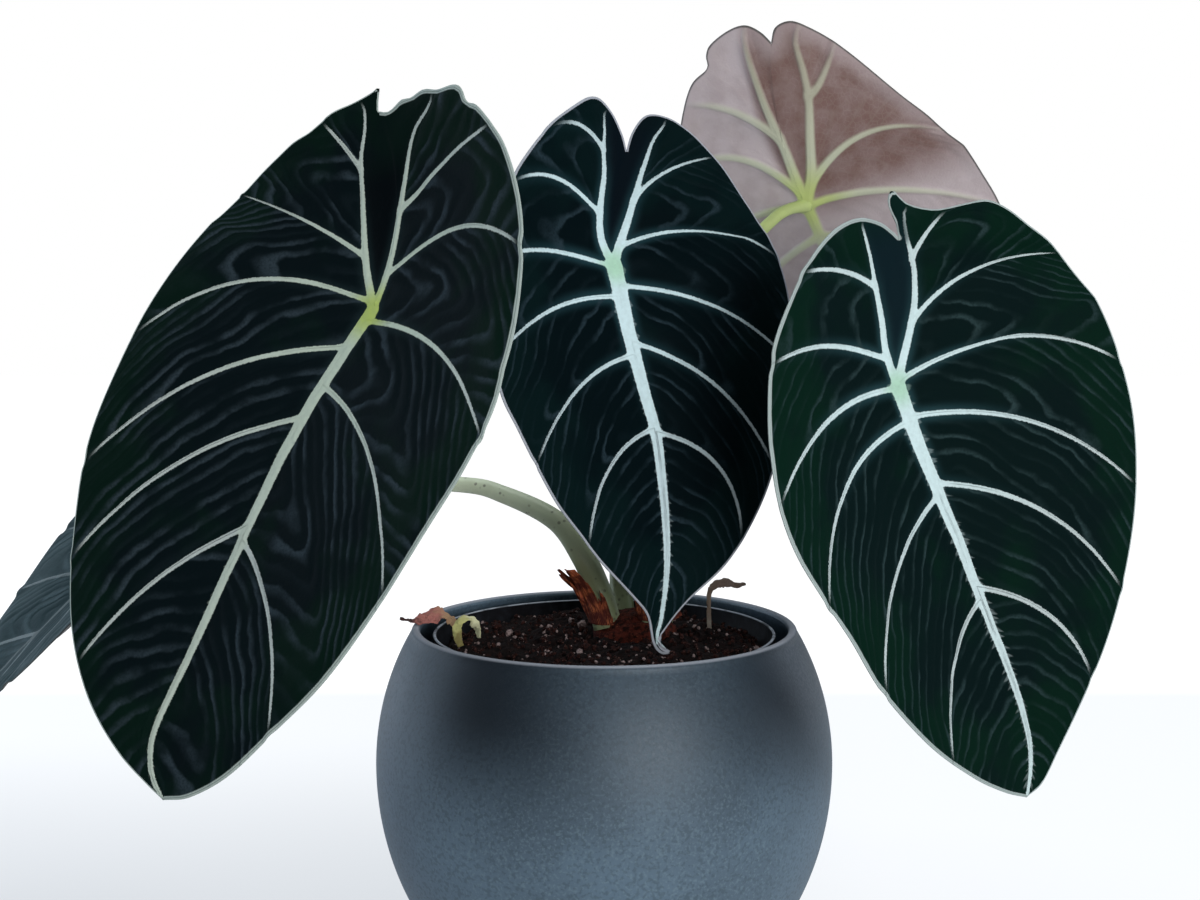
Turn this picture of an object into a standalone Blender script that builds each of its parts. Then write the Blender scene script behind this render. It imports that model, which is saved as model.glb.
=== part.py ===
"""A dark velvet-leaved alocasia in a nursery pot, standing in a round cover pot.

Frame: +Z up, origin at the centre of the cover pot's flat underside, the front
of the plant towards -Y.  Sizes below are in millimetres, the model is in metres.
"""

import math

import bmesh
import bpy
import numpy as np

MM = 0.001
GAP = 0.3          # clearance between pieces that rest on each other

# Cover pot
POT_R = 80.0       # largest radius
POT_EQUATOR = 80.0 # height of the widest place
POT_UP = 86.0      # half height of the swell above the equator
POT_DOWN = 92.0    # and below it
POT_TOP = 127.9
POT_WALL = 3.2
POT_FLOOR = 4.0
POT_LIP = 1.5      # radius of the rounded lip
POT_FOOT = 1.2     # rounding of the foot's edge
POT_STEPS = 48

# Nursery pot
INNER_RIM_R = 60.0
INNER_TOP = 125.4
INNER_R_TOP = 57.6
INNER_R_BASE = 39.5
INNER_WALL = 1.2
INNER_FLOOR = 1.6
INNER_BAND = 7.0   # height of the rim band
INNER_STEPS = 48
DRAIN_HOLES = 5
DRAIN_R = 4.0
DRAIN_RING = 24.0  # the holes' distance from the axis

# Soil and crown
SOIL_TOP = 121.4
SOIL_RELIEF = 1.3
SOIL_SHOULDER = 4.0   # depth of the mix's rounded edge
SOIL_RINGS = (52.0, 45.0, 36.0, 27.0, 18.0, 9.0, 0.0)
SOIL_STEPS = 36
CROWN = (11.0, 14.0)
CROWN_R = 15.0
CROWN_BASE = 112.0
CROWN_TOP = 129.5
SOCKET_DEPTH = 5.0 # how deep a petiole's foot stands in the crown
SOCKET_FIT = 0.4   # clearance round a foot
STALK_STEPS = 22   # points along a petiole
CROWN_PROFILE = ((0, 0), (0.45, -0.4), (0.8, -2.4), (0.97, -6.0), (1.0, -9.0))  # share of radius, drop

BLADE_T = 0.8      # thickness of a blade

# Leaves
# Each blade is drawn flat first: u across, v from the hub, where the petiole
# meets the blade, towards the tip, both in units of the length L from hub to tip.
# lean, reach and turn pose the blade: lean of the midrib from straight down in
# the front view, reach of the tip towards the front, turn of the face about the
# midrib.  bend curls the tip back, back lifts the rear lobes forward, swing
# turns the notch aside, twist winds the blade and bow curves the midrib.
# A margin runs from the notch over the lobe to the tip; costa is the rib of the
# rear lobe; veins are (start, midpoint, end): start is the place along costa
# (-1..0) or midrib (0..1).
LEAVES = {
    "left": dict(
        hub=(-77.3, -20.0, 236.9), L=171.0, lean=-29, reach=16, turn=-46,
        bend=16, back=-45, swing=-20, sway=2, twist=-16, bow=-0.035,
        cup=(22, 8), curl=(0, -5), wave=0.8,
        margin=(
            ((-.09, -.42), (-.085, -.455), (-.15, -.455), (-.22, -.43), (-.31, -.37), (-.40, -.27),
             (-.455, -.12), (-.475, .04), (-.46, .19), (-.43, .32), (-.40, .45), (-.355, .57),
             (-.31, .68), (-.26, .775), (-.19, .87), (-.11, .945), (-.04, .99), (0, 1.01)),
            ((-.09, -.42), (-.03, -.44), (.03, -.445), (.09, -.44), (.15, -.43), (.21, -.385),
             (.27, -.32), (.34, -.225), (.40, -.12), (.455, -.02), (.49, .07), (.49, .18),
             (.465, .30), (.405, .50), (.32, .69), (.22, .83), (.14, .93), (.06, .99), (0, 1.01))),
        costa=(((0, 0), (-.10, -.10), (-.14, -.20), (-.15, -.31), (-.135, -.40)),
               ((0, 0), (-.03, -.11), (-.04, -.20), (-.035, -.31), (0, -.405))),
        veins=(((-.78, (-.185, -.37), (-.23, -.43)), (-.25, (-.26, -.17), (-.465, -.10)),
                (0, (-.25, .04), (-.455, .25)), (.09, (-.22, .22), (-.395, .50)),
                (.23, (-.20, .41), (-.32, .67)), (.50, (-.15, .65), (-.225, .84))),
               ((-.50, (.09, -.295), (.27, -.33)), (-.17, (.15, -.18), (.41, -.11)),
                (.02, (.24, .01), (.485, .14)), (.18, (.22, .24), (.40, .52)),
                (.51, (.12, .60), (.22, .83))))),
    "middle": dict(
        hub=(3.4, 0.0, 252.6), L=127.0, lean=2, reach=18, turn=27,
        bend=9, back=-24, swing=24, sway=18, twist=12, bow=0.089,
        cup=(16.5, 13), curl=(-5, -2), wave=0.6,
        margin=(
            ((.06, -.335), (.04, -.375), (0, -.42), (-.05, -.445), (-.09, -.44), (-.135, -.405),
             (-.195, -.35), (-.255, -.28), (-.32, -.195), (-.385, -.09), (-.44, .03), (-.475, .17),
             (-.475, .30), (-.44, .41), (-.39, .54), (-.33, .66), (-.26, .75), (-.20, .82),
             (-.10, .91), (-.055, .96), (-.03, 1.0), (-.005, 1.04)),
            ((.06, -.335), (.065, -.39), (.085, -.445), (.12, -.465), (.18, -.465), (.26, -.43),
             (.355, -.345), (.43, -.20), (.465, -.06), (.48, .08), (.465, .21), (.42, .31),
             (.37, .43), (.315, .58), (.25, .70), (.165, .82), (.07, .91), (.02, .965),
             (-.005, 1.0), (-.005, 1.04))),
        costa=(((0, 0), (-.01, -.13), (-.01, -.21), (-.03, -.32), (-.065, -.40)),
               ((0, 0), (.09, -.14), (.12, -.28), (.13, -.395))),
        veins=(((-.78, (-.09, -.36), (-.20, -.37)), (-.42, (-.14, -.235), (-.335, -.21)),
                (0, (-.19, -.05), (-.41, -.05)), (.08, (-.22, .075), (-.475, .19)),
                (.23, (-.22, .305), (-.41, .50)), (.42, (-.16, .53), (-.27, .75))),
               ((-.42, (.19, -.30), (.33, -.36)), (-.10, (.24, -.065), (.48, .10)),
                (.05, (.20, .14), (.43, .30)), (.19, (.14, .31), (.33, .55)),
                (.43, (.13, .56), (.235, .76))))),
    "right": dict(
        hub=(100.1, -10.0, 211.2), L=149.0, lean=18, reach=4, turn=30,
        bend=8, back=-36, swing=20, sway=6, twist=4, bow=0.035,
        cup=(16, 20), curl=(-5, 2), wave=0.7,
        margin=(
            ((.05, -.35), (.03, -.365), (-.01, -.385), (-.08, -.395), (-.16, -.375), (-.24, -.32),
             (-.31, -.245), (-.37, -.175), (-.42, -.09), (-.47, .0), (-.505, .10), (-.51, .20),
             (-.485, .31), (-.44, .44), (-.385, .60), (-.28, .775), (-.165, .90), (-.065, .98),
             (0, 1.02)),
            ((.05, -.35), (.02, -.39), (0, -.44), (.01, -.475), (.045, -.46), (.10, -.445), (.19, -.475),
             (.26, -.49), (.34, -.45), (.42, -.36), (.48, -.24), (.52, -.10), (.535, .03),
             (.53, .15), (.51, .27), (.47, .39), (.42, .50), (.35, .62), (.28, .72),
             (.20, .82), (.11, .93), (.05, 1.0), (0, 1.02))),
        costa=(((0, 0), (0, -.09), (-.005, -.20), (-.035, -.29), (-.08, -.36)),
               ((0, 0), (.05, -.08), (.09, -.17), (.10, -.29), (.07, -.405))),
        veins=(((-.50, (-.08, -.26), (-.22, -.335)), (-.15, (-.16, -.14), (-.385, -.155)),
                (0, (-.25, -.01), (-.505, .11)), (.07, (-.26, .125), (-.475, .35)),
                (.26, (-.23, .365), (-.38, .58)), (.52, (-.12, .64), (-.22, .83))),
               ((-.74, (.12, -.38), (.16, -.46)), (-.42, (.26, -.245), (.46, -.29)),
                (0, (.27, -.015), (.53, .15)), (.06, (.27, .19), (.46, .41)),
                (.23, (.22, .39), (.37, .59)), (.49, (.165, .63), (.255, .76))))),
    "back": dict(
        hub=(79.3, 70.0, 279.8), L=150.0, lean=32, reach=-26, turn=154,
        bend=16, back=-20, swing=-24, sway=0, twist=0, bow=0.03,
        cup=(14, 14), curl=(-4, -4), wave=1.0,
        margin=(
            ((.05, -.42), (.045, -.455), (.01, -.475), (-.04, -.465), (-.10, -.44), (-.16, -.40),
             (-.22, -.345), (-.28, -.275), (-.34, -.19), (-.38, -.10), (-.415, -.01), (-.44, .09),
             (-.46, .20), (-.455, .31), (-.42, .44), (-.36, .58), (-.28, .72), (-.19, .85),
             (-.09, .95), (0, 1.0)),
            ((.05, -.42), (.08, -.44), (.12, -.45), (.16, -.435), (.205, -.40), (.215, -.375),
             (.212, -.348), (.255, -.31), (.29, -.225), (.32, -.12), (.355, 0), (.38, .12),
             (.38, .25), (.36, .40), (.32, .54), (.26, .68), (.18, .82), (.09, .94), (0, 1.0))),
        costa=(((0, 0), (-.02, -.10), (-.045, -.27), (-.02, -.42)),
               ((0, 0), (.02, -.16), (.07, -.30), (.115, -.41))),
        veins=(((-.62, (-.08, -.34), (-.13, -.42)), (-.10, (-.19, -.15), (-.39, -.08)),
                (0, (-.23, .055), (-.455, .20)), (.10, (-.22, .22), (-.42, .45)),
                (.28, (-.20, .42), (-.34, .62)), (.52, (-.14, .65), (-.22, .81))),
               ((-.38, (.13, -.245), (.27, -.26)), (-.08, (.14, -.13), (.32, -.12)),
                (.01, (.17, .01), (.375, .10)), (.10, (.19, .20), (.365, .38)),
                (.28, (.17, .41), (.30, .60)), (.52, (.13, .64), (.20, .79))))),
    "far_left": dict(
        hub=(-163.5, 50.0, 164.4), L=140.0, lean=-50, reach=4, turn=-68,
        bend=10, back=-15, swing=0, sway=0, twist=0, bow=0.0,
        cup=(12, 12), curl=(-3, -3), wave=0.9,
        margin=(
            ((0, -.36), (-.03, -.42), (-.09, -.45), (-.17, -.43), (-.25, -.36), (-.32, -.26),
             (-.37, -.13), (-.395, .0), (-.40, .14), (-.385, .28), (-.35, .42), (-.30, .56),
             (-.24, .70), (-.165, .83), (-.08, .94), (0, 1.0)),
            ((0, -.36), (.03, -.42), (.09, -.45), (.17, -.43), (.25, -.36), (.32, -.26),
             (.37, -.13), (.395, .0), (.40, .14), (.385, .28), (.35, .42), (.30, .56),
             (.24, .70), (.165, .83), (.08, .94), (0, 1.0))),
        costa=(((0, 0), (-.05, -.12), (-.08, -.25), (-.09, -.41)),
               ((0, 0), (.05, -.12), (.08, -.25), (.09, -.41))),
        veins=(((-.55, (-.13, -.33), (-.23, -.37)), (-.18, (-.17, -.16), (-.36, -.14)),
                (0, (-.20, .04), (-.40, .15)), (.10, (-.19, .21), (-.365, .37)),
                (.27, (-.16, .41), (-.30, .57)), (.52, (-.12, .65), (-.20, .78))),
               ((-.55, (.13, -.33), (.23, -.37)), (-.18, (.17, -.16), (.36, -.14)),
                (0, (.20, .04), (.40, .15)), (.10, (.19, .21), (.365, .37)),
                (.27, (.16, .41), (.30, .57)), (.52, (.12, .65), (.20, .78))))),
}

# Petioles: foot on the crown, direction there, points that the stalk passes, and
# the radii at foot and hub.  The last stretch comes in from stand, a distance
# under the blade, moved by slant, and slim says how fast the stalk narrows.
PETIOLES = {
    "left": dict(foot=(-3.5, 9.0), rise=(-.10, .35), radii=(4.2, 2.6), slim=1.6,
                 via=((4.0, 27.0, 165.0), (-12.0, 29.0, 200.0), (-36.0, 19.0, 224.0)),
                 stand=16, slant=(0, 0, 0)),
    "middle": dict(foot=(6.0, -8.0), rise=(.05, .35), radii=(4.2, 2.3), slim=1.6,
                   via=((17.0, 12.0, 165.0), (16.0, 23.0, 210.0)), stand=12, slant=(0, 0, 0)),
    "right": dict(foot=(9.5, 2.0), rise=(.25, .25), radii=(4.2, 2.5), slim=1.6,
                  via=((33.0, 20.0, 165.0), (46.0, 26.0, 192.0), (66.0, 20.0, 207.0)),
                  stand=12, slant=(0, 0, 0)),
    "back": dict(foot=(5.0, 10.5), rise=(.12, .45), radii=(4.2, 2.2), slim=1.6,
                 via=((21.0, 36.0, 165.0), (28.0, 44.0, 208.0), (44.0, 51.0, 248.0)),
                 stand=12, slant=(-12, 0, 0)),
    "far_left": dict(foot=(-9.5, -3.5), rise=(-.28, .12), radii=(5.3, 2.2), slim=2.8,
                     via=((-7.5, 9.5, 150.0), (-17.5, 14.0, 162.5), (-36.0, 24.0, 170.5),
                          (-53.0, 31.0, 173.6), (-95.0, 44.0, 172.0), (-130.0, 52.0, 163.0)),
                     stand=12, slant=(0, 0, 0)),
}

# Dried remains
SHEATH_T = 0.8     # thickness of a papery sheath
# A sheath stands round part of a petiole's foot: first and last angle about the
# stalk, height of its tallest tongue, how far it flares, and the phase of its tears.
SHEATHS = {
    "left": dict(stalk="far_left", arc=(118, 292), height=18.0, flare=2.6, phase=0.0),
    "front": dict(stalk="middle", arc=(165, 345), height=10.0, flare=2.5, phase=2.1),
    "right": dict(stalk="right", arc=(-70, 70), height=8.0, flare=2.0, phase=4.0),
}
# Scraps: points along the middle, half width at each point, and the way the
# flat side faces.
SCRAPS = {
    "dry_leaf_left": dict(
        path=((-71.5, -3.0, 130.2), (-68.0, -2.6, 129.3), (-64.0, -1.0, 129.2), (-60.0, 1.0, 130.6),
              (-56.0, 2.5, 130.2), (-52.5, 3.5, 126.2), (-50.8, 4.0, 122.9)),
        half=(0.7, 1.2, 3.2, 4.6, 3.6, 3.0, 1.2), face=(0.2, -0.25, 1.0), crimp=0.9),
    "pale_strip": dict(
        path=((-49.0, -16.0, 123.1), (-50.5, -13.0, 126.8), (-50.0, -9.5, 130.4),
              (-47.0, -6.5, 130.8), (-44.5, -4.5, 127.6), (-44.0, -3.5, 123.5)),
        half=(1.0, 1.6, 1.8, 1.7, 1.5, 0.9), face=(-0.4, -0.6, 0.7), crimp=0.3),
    "withered_leaf": dict(
        path=((38.4, 20.0, 116.5), (38.5, 20.0, 122.0), (38.3, 20.2, 130.0), (38.6, 20.6, 135.0),
              (41.0, 21.5, 138.0), (44.5, 22.5, 138.4), (48.0, 23.0, 137.4), (52.0, 23.5, 137.8)),
        half=(0.75, 0.8, 0.8, 0.9, 2.0, 2.6, 1.8, 0.6), face=(0.0, -0.5, 1.0), crimp=0.5),
}
SCRAP_T = 0.9      # thickness of a scrap
STALK_HOLE_R = 1.2 # hole in the soil for the withered leaf's stalk

RAYS = 4           # rays to each panel between two veins
ROWS = (0.0, 0.07, 0.3, 0.55, 0.8, 1.0)      # places along a ray
INNER_RAYS = 5     # rays between a costa and the notch
INNER_ROWS = 3
NOTCH_SPLIT = 0.62 # share of the inner rays that end on the line from hub to notch
QUILT = 1.0        # how far a panel stands proud between its veins
MARGIN_STEPS = 400
COSTA_STEPS = 80


def reset():
    """Empty the scene."""
    for ob in list(bpy.data.objects):
        bpy.data.objects.remove(ob, do_unlink=True)


def collection(name, hidden=False):
    """A collection in the scene."""
    col = bpy.data.collections.new(name)
    bpy.context.scene.collection.children.link(col)
    col.hide_render = hidden
    return col


def material(name, colour, rough, metal=0.0):
    """A plain Principled material."""
    mat = bpy.data.materials.new(name)
    mat.use_nodes = True
    bsdf = mat.node_tree.nodes["Principled BSDF"]
    bsdf.inputs["Base Color"].default_value = (*colour, 1.0)
    bsdf.inputs["Roughness"].default_value = rough
    bsdf.inputs["Metallic"].default_value = metal
    mat.diffuse_color = (*colour, 1.0)
    return mat


def add(name, mesh, col, mat=None):
    """An object of a mesh in a collection, with its material."""
    ob = bpy.data.objects.new(name, mesh)
    col.objects.link(ob)
    if mat:
        mesh.materials.append(mat)
    return ob


def catmull(points, count):
    """A smooth curve through points, sampled evenly in its parameter."""
    p = np.asarray(points, float)
    q = np.vstack([2 * p[0] - p[1], p, 2 * p[-1] - p[-2]])
    t = np.linspace(0, len(p) - 1, count)
    k = np.minimum(t.astype(int), len(p) - 2)
    f = (t - k)[:, None]
    a, b, c, d = q[k], q[k + 1], q[k + 2], q[k + 3]
    return 0.5 * (2 * b + (c - a) * f + (2 * a - 5 * b + 4 * c - d) * f ** 2
                  + (3 * b - a - 3 * c + d) * f ** 3)


def evenly(points, count):
    """Points at equal steps of length along a polyline."""
    step = np.linalg.norm(np.diff(points, axis=0), axis=1)
    run = np.r_[0.0, np.cumsum(step)]
    want = np.linspace(0, run[-1], count)
    return np.stack([np.interp(want, run, points[:, i]) for i in range(points.shape[1])], -1)


def blade_axes(leaf):
    """Unit vectors at the hub: to the tip, across the blade and out of its face."""
    lean, reach, turn = (math.radians(leaf[k]) for k in ("lean", "reach", "turn"))
    tip = np.array([math.sin(lean) * math.cos(reach), -math.sin(reach),
                    -math.cos(lean) * math.cos(reach)])
    face = np.array([0.0, -1.0, 0.0])
    face = face - (face @ tip) * tip
    face /= np.linalg.norm(face)
    across = np.cross(face, tip)
    return (tip, math.cos(turn) * across - math.sin(turn) * face,
            math.cos(turn) * face + math.sin(turn) * across)


def blade_point(leaf, u, v):
    """World points, in mm, of flat blade points u, v, in mm."""
    length = leaf["L"]
    tip, across, face = blade_axes(leaf)
    g = np.linspace(-0.62 * length, 1.12 * length, 261)
    ahead = np.clip(g / length, 0, None)
    behind = np.clip(-g / length, 0, None)
    pitch = np.radians(leaf["bend"] * ahead - leaf["back"] * behind / 0.45)
    yaw = np.radians(leaf["sway"] * ahead - leaf["swing"] * behind / 0.4)
    yaw = yaw + leaf["bow"] * np.pi * np.cos(np.pi * np.clip(ahead, 0, 1))
    wind = np.radians(leaf["twist"]) * g / length
    t = ((np.cos(pitch) * np.cos(yaw))[:, None] * tip + (np.cos(pitch) * np.sin(yaw))[:, None] * across
         - np.sin(pitch)[:, None] * face)
    b = -np.sin(yaw)[:, None] * tip + np.cos(yaw)[:, None] * across
    b = b - (b * t).sum(1)[:, None] * t
    b /= np.linalg.norm(b, axis=1)[:, None]
    n = np.cross(t, b)
    cw, sw = np.cos(wind)[:, None], np.sin(wind)[:, None]
    b, n = cw * b + sw * n, cw * n - sw * b
    mid = np.vstack([np.zeros(3), np.cumsum((t[1:] + t[:-1]) / 2 * (g[1] - g[0]), axis=0)])
    mid -= np.array([np.interp(0, g, mid[:, i]) for i in range(3)])
    mid += np.array(leaf["hub"])
    mid_v, b_v, n_v = (np.stack([np.interp(v, g, a[:, i]) for i in range(3)], -1) for a in (mid, b, n))
    a = np.linspace(0, 0.7 * length, 281)
    out, up = [], []
    for cup, curl in zip(leaf["cup"], leaf["curl"]):
        slope = np.radians(cup * (1 - np.exp(-a / (0.05 * length))) + curl * a / (0.5 * length))
        h = a[1] - a[0]
        out.append(np.r_[0, np.cumsum((np.cos(slope[1:]) + np.cos(slope[:-1])) / 2 * h)])
        up.append(np.r_[0, np.cumsum((np.sin(slope[1:]) + np.sin(slope[:-1])) / 2 * h)])
    w = np.abs(u)
    x = np.where(u < 0, -np.interp(w, a, out[0]), np.interp(w, a, out[1]))
    z = np.where(u < 0, np.interp(w, a, up[0]), np.interp(w, a, up[1]))
    return mid_v + x[..., None] * b_v + z[..., None] * n_v


def lifted(leaf, u, v, height):
    """Blade points raised from the face by height, along the face's own normal."""
    e = 0.05
    p = blade_point(leaf, u, v)
    du = blade_point(leaf, u + e, v) - blade_point(leaf, u - e, v)
    dv = blade_point(leaf, u, v + e) - blade_point(leaf, u, v - e)
    n = np.cross(dv, du)
    n /= np.linalg.norm(n, axis=-1)[..., None]
    return p + height[..., None] * n


def half_blade(leaf, side):
    """Flat grids of one half as (places, u v height): the outer rays from base line
    to margin, and the inner rays from costa to notch.  A place is where a ray
    starts on the base line."""
    length = leaf["L"]
    margin = margin_line(leaf, side)

    def near(point):
        """Index on the margin nearest a point."""
        return float(np.argmin(((margin - np.array(point)) ** 2).sum(1)))

    apex = near(costa_line(leaf, side)[-1])
    keys = [(-1.0, margin[int(apex)], apex)]
    keys += [(s, np.array(m) * length, near(np.array(e) * length)) for s, m, e in leaf["veins"][side]]
    keys += [(1.0, margin[-1], MARGIN_STEPS)]
    k = np.linspace(0, len(keys) - 1, (len(keys) - 1) * RAYS + 1)
    at = np.arange(len(keys))
    s = np.interp(k, at, [key[0] for key in keys])
    m = np.stack([np.interp(k, at, [key[1][i] for key in keys]) for i in (0, 1)], -1)
    e = np.interp(k, at, [key[2] for key in keys])
    number = np.arange(MARGIN_STEPS + 1)
    end = np.stack([np.interp(e, number, margin[:, i]) for i in (0, 1)], -1)
    b = base_line(leaf, side, s)
    c = 2 * m - (b + end) / 2
    rows = np.array(ROWS)
    t = rows[None, :, None]
    flat = (1 - t) ** 2 * b[:, None] + 2 * t * (1 - t) * c[:, None] + t ** 2 * end[:, None]
    flat[:, -1] = end
    fade = np.clip(rows / 0.25, 0, 1) * np.clip((1 - rows) / 0.2, 0, 1)
    height = QUILT * np.sin(np.pi * (k % 1.0))[:, None] * fade
    edge = leaf["wave"] * np.sin(k * 2.1 + side)[:, None] * rows ** 4
    height = height + edge * np.clip(len(keys) - 1 - k, 0, 1)[:, None] * np.clip(k, 0, 1)[:, None]
    outer = np.concatenate([flat, height[..., None]], -1)

    q = np.linspace(0, 1, INNER_RAYS + 1)
    line = np.clip(q / NOTCH_SPLIT, 0, 1)[:, None] * margin[0]
    along = np.clip((q - NOTCH_SPLIT) / (1 - NOTCH_SPLIT), 0, 1) * apex
    rim = np.stack([np.interp(along, number, margin[:, i]) for i in (0, 1)], -1)
    goal = np.where((q <= NOTCH_SPLIT)[:, None], line, rim)
    start = base_line(leaf, side, -q)
    t = np.linspace(0, 1, INNER_ROWS + 1)[None, :, None]
    flat = start[:, None] * (1 - t) + goal[:, None] * t
    flat[:, -1] = goal
    inner = np.concatenate([flat, np.zeros((*flat.shape[:2], 1))], -1)
    return (s, outer), (-q, inner)


def margin_line(leaf, side):
    """Even flat points on the margin of one half, from notch to tip."""
    return evenly(catmull(leaf["margin"][side], MARGIN_STEPS), MARGIN_STEPS + 1) * leaf["L"]


def costa_line(leaf, side):
    """Even flat points on the rib of a rear lobe, from the hub out to the margin."""
    margin = margin_line(leaf, side)
    rib = np.array(leaf["costa"][side], float) * leaf["L"]
    end = margin[np.argmin(((margin - (rib[-1] * 1.1 - rib[-2] * 0.1)) ** 2).sum(1))]
    return evenly(catmull(np.vstack([rib, end]), COSTA_STEPS), COSTA_STEPS + 1)


def base_line(leaf, side, s):
    """Flat points on the base line: the costa for s below 0, the midrib above."""
    costa = costa_line(leaf, side)
    tip = margin_line(leaf, side)[-1]
    number = np.linspace(0, 1, COSTA_STEPS + 1)
    back = np.stack([np.interp(np.clip(-s, 0, 1), number, costa[:, i]) for i in (0, 1)], -1)
    return np.where((s < 0)[:, None], back, np.clip(s, 0, 1)[:, None] * tip)


def stitched(a, b):
    """Triangles between two rows of points at rising places a and b, as
    (row, index) pairs: each step on one row meets the other row's nearest point."""
    mid_a, mid_b = (a[1:] + a[:-1]) / 2, (b[1:] + b[:-1]) / 2
    on_b = np.searchsorted(mid_b, mid_a)
    on_a = np.searchsorted(mid_a, mid_b, side="right")
    faces = [((0, i), (0, i + 1), (1, j)) for i, j in enumerate(on_b)]
    return faces + [((0, i), (1, j + 1), (1, j)) for j, i in enumerate(on_a)]


def blade_mesh(name, leaf):
    """The blade's face as one open surface of triangles, facing out of the leaf."""
    bm = bmesh.new()
    halves = [half_blade(leaf, side) for side in (0, 1)]

    def vertices(grid):
        """New vertices for a row of flat points with heights."""
        p = lifted(leaf, grid[..., 0], grid[..., 1], grid[..., 2]) * MM
        return [bm.verts.new(tuple(q)) for q in p]

    midrib = np.concatenate([outer[0][outer[0] > 0] for outer, _ in halves])
    for side, ((s, outer), (q, inner)) in enumerate(halves):
        places = np.unique(np.round(np.concatenate([s[s < 0], q, midrib]), 2))
        flat = base_line(leaf, side, places)
        row = vertices(np.concatenate([flat, np.zeros((len(flat), 1))], -1))
        grids = ((outer, s, 1, side == 0), (inner[::-1], q[::-1], 0, side == 1))
        for grid, at, high, flip in grids:
            lines = [vertices(grid[:, j]) for j in range(1, grid.shape[1])]
            keep = [i for i, p in enumerate(places) if p <= high]
            line_a, line_b = [row[i] for i in keep], lines[0]
            for tri in stitched(places[keep], np.round(at, 2)):
                tri = [(line_a, line_b)[r][i] for r, i in tri]
                bm.faces.new(tri[::-1] if flip else tri)
            for one, two in zip(lines, lines[1:]):
                for i in range(len(one) - 1):
                    quad = (one[i], one[i + 1], two[i + 1], two[i])
                    bm.faces.new(quad[::-1] if flip else quad)
    bmesh.ops.remove_doubles(bm, verts=bm.verts, dist=2e-5)
    bmesh.ops.triangulate(bm, faces=bm.faces, quad_method="SHORT_EDGE")
    mesh = bpy.data.meshes.new(name)
    bm.to_mesh(mesh)
    bm.free()
    return mesh


def blades(col, mat):
    """All blades: thin curved sheets thickened from their upper face down."""
    for key, leaf in LEAVES.items():
        ob = add(f"blade_{key}", blade_mesh(f"blade_{key}", leaf), col, mat)
        thick = ob.modifiers.new("thickness", "SOLIDIFY")
        thick.thickness = BLADE_T * MM
        thick.offset = -1.0
        thick.use_even_offset = False


def petiole_path(key):
    """Points, in mm, of a petiole from its foot to the underside of its blade."""
    leaf, stalk = LEAVES[key], PETIOLES[key]
    hub = blade_point(leaf, np.zeros(1), np.zeros(1))[0]
    face = blade_axes(leaf)[2]
    foot = np.array([CROWN[0] + stalk["foot"][0], CROWN[1] + stalk["foot"][1], CROWN_TOP - SOCKET_DEPTH])
    rise = np.array([*stalk["rise"], 1.0])
    rise /= np.linalg.norm(rise)
    top = hub - face * (BLADE_T + SOCKET_FIT)
    points = [foot, foot + rise * 2.8 * SOCKET_DEPTH] + [np.array(p) for p in stalk["via"]]
    points += [hub - face * stalk["stand"] + np.array(stalk["slant"], float), top]
    path = evenly(catmull(points, 240), STALK_STEPS)
    straight = foot + rise * SOCKET_DEPTH * np.array([0, 0.8, 1.6])[:, None]
    beyond = np.linalg.norm(path - foot, axis=1) > 2.4 * SOCKET_DEPTH
    path = np.vstack([straight, path[beyond]])
    path[-2] = top - face * 3.0
    return path, rise


def tube(name, path, radii, col, mat, sides=2):
    """A round bar along a path, as a bevelled curve with closed ends, made a mesh."""
    curve = bpy.data.curves.new(name, "CURVE")
    curve.dimensions = "3D"
    curve.bevel_depth = MM
    curve.bevel_resolution = sides
    curve.use_fill_caps = True
    curve.twist_mode = "MINIMUM"
    line = curve.splines.new("POLY")
    line.points.add(len(path) - 1)
    for point, place, radius in zip(line.points, path, radii):
        point.co = (*(place * MM), 1.0)
        point.radius = radius
    guide = bpy.data.objects.new(name + "_guide", curve)
    col.objects.link(guide)
    bpy.context.view_layer.update()
    mesh = bpy.data.meshes.new_from_object(guide.evaluated_get(bpy.context.evaluated_depsgraph_get()))
    bpy.data.objects.remove(guide, do_unlink=True)
    bm = bmesh.new()
    bm.from_mesh(mesh)
    bmesh.ops.remove_doubles(bm, verts=bm.verts, dist=1e-6)
    bmesh.ops.recalc_face_normals(bm, faces=bm.faces)
    bm.to_mesh(mesh)
    bm.free()
    mesh.shade_smooth()
    mesh.name = name
    mesh.materials.clear()
    return add(name, mesh, col, mat)


def petioles(col, mat):
    """The stalks; each is thick at the foot and slims towards its blade."""
    for key, stalk in PETIOLES.items():
        path, _ = petiole_path(key)
        t = np.linspace(0, 1, len(path))
        r0, r1 = stalk["radii"]
        tube(f"petiole_{key}", path, r1 + (r0 - r1) * (1 - t) ** stalk["slim"], col, mat)


def turned(name, profile, steps, col, mat):
    """A turned shape: profile (radius, z) from the inside over the rim and down."""
    bm = bmesh.new()
    verts = [bm.verts.new((r * MM, 0, z * MM)) for r, z in profile]
    for a, b in zip(verts, verts[1:]):
        bm.edges.new((a, b))
    mesh = bpy.data.meshes.new(name)
    bm.to_mesh(mesh)
    bm.free()
    ob = add(name, mesh, col, mat)
    screw = ob.modifiers.new("turn", "SCREW")
    screw.steps = screw.render_steps = steps
    screw.use_merge_vertices = True
    screw.merge_threshold = 0.00001
    screw.use_smooth_shade = True
    return ob


def pot_radius(z):
    """Radius of the cover pot's outside at height z."""
    z = np.asarray(z, float)
    half = np.where(z > POT_EQUATOR, POT_UP, POT_DOWN)
    return POT_R * np.sqrt(1 - ((z - POT_EQUATOR) / half) ** 2)


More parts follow.
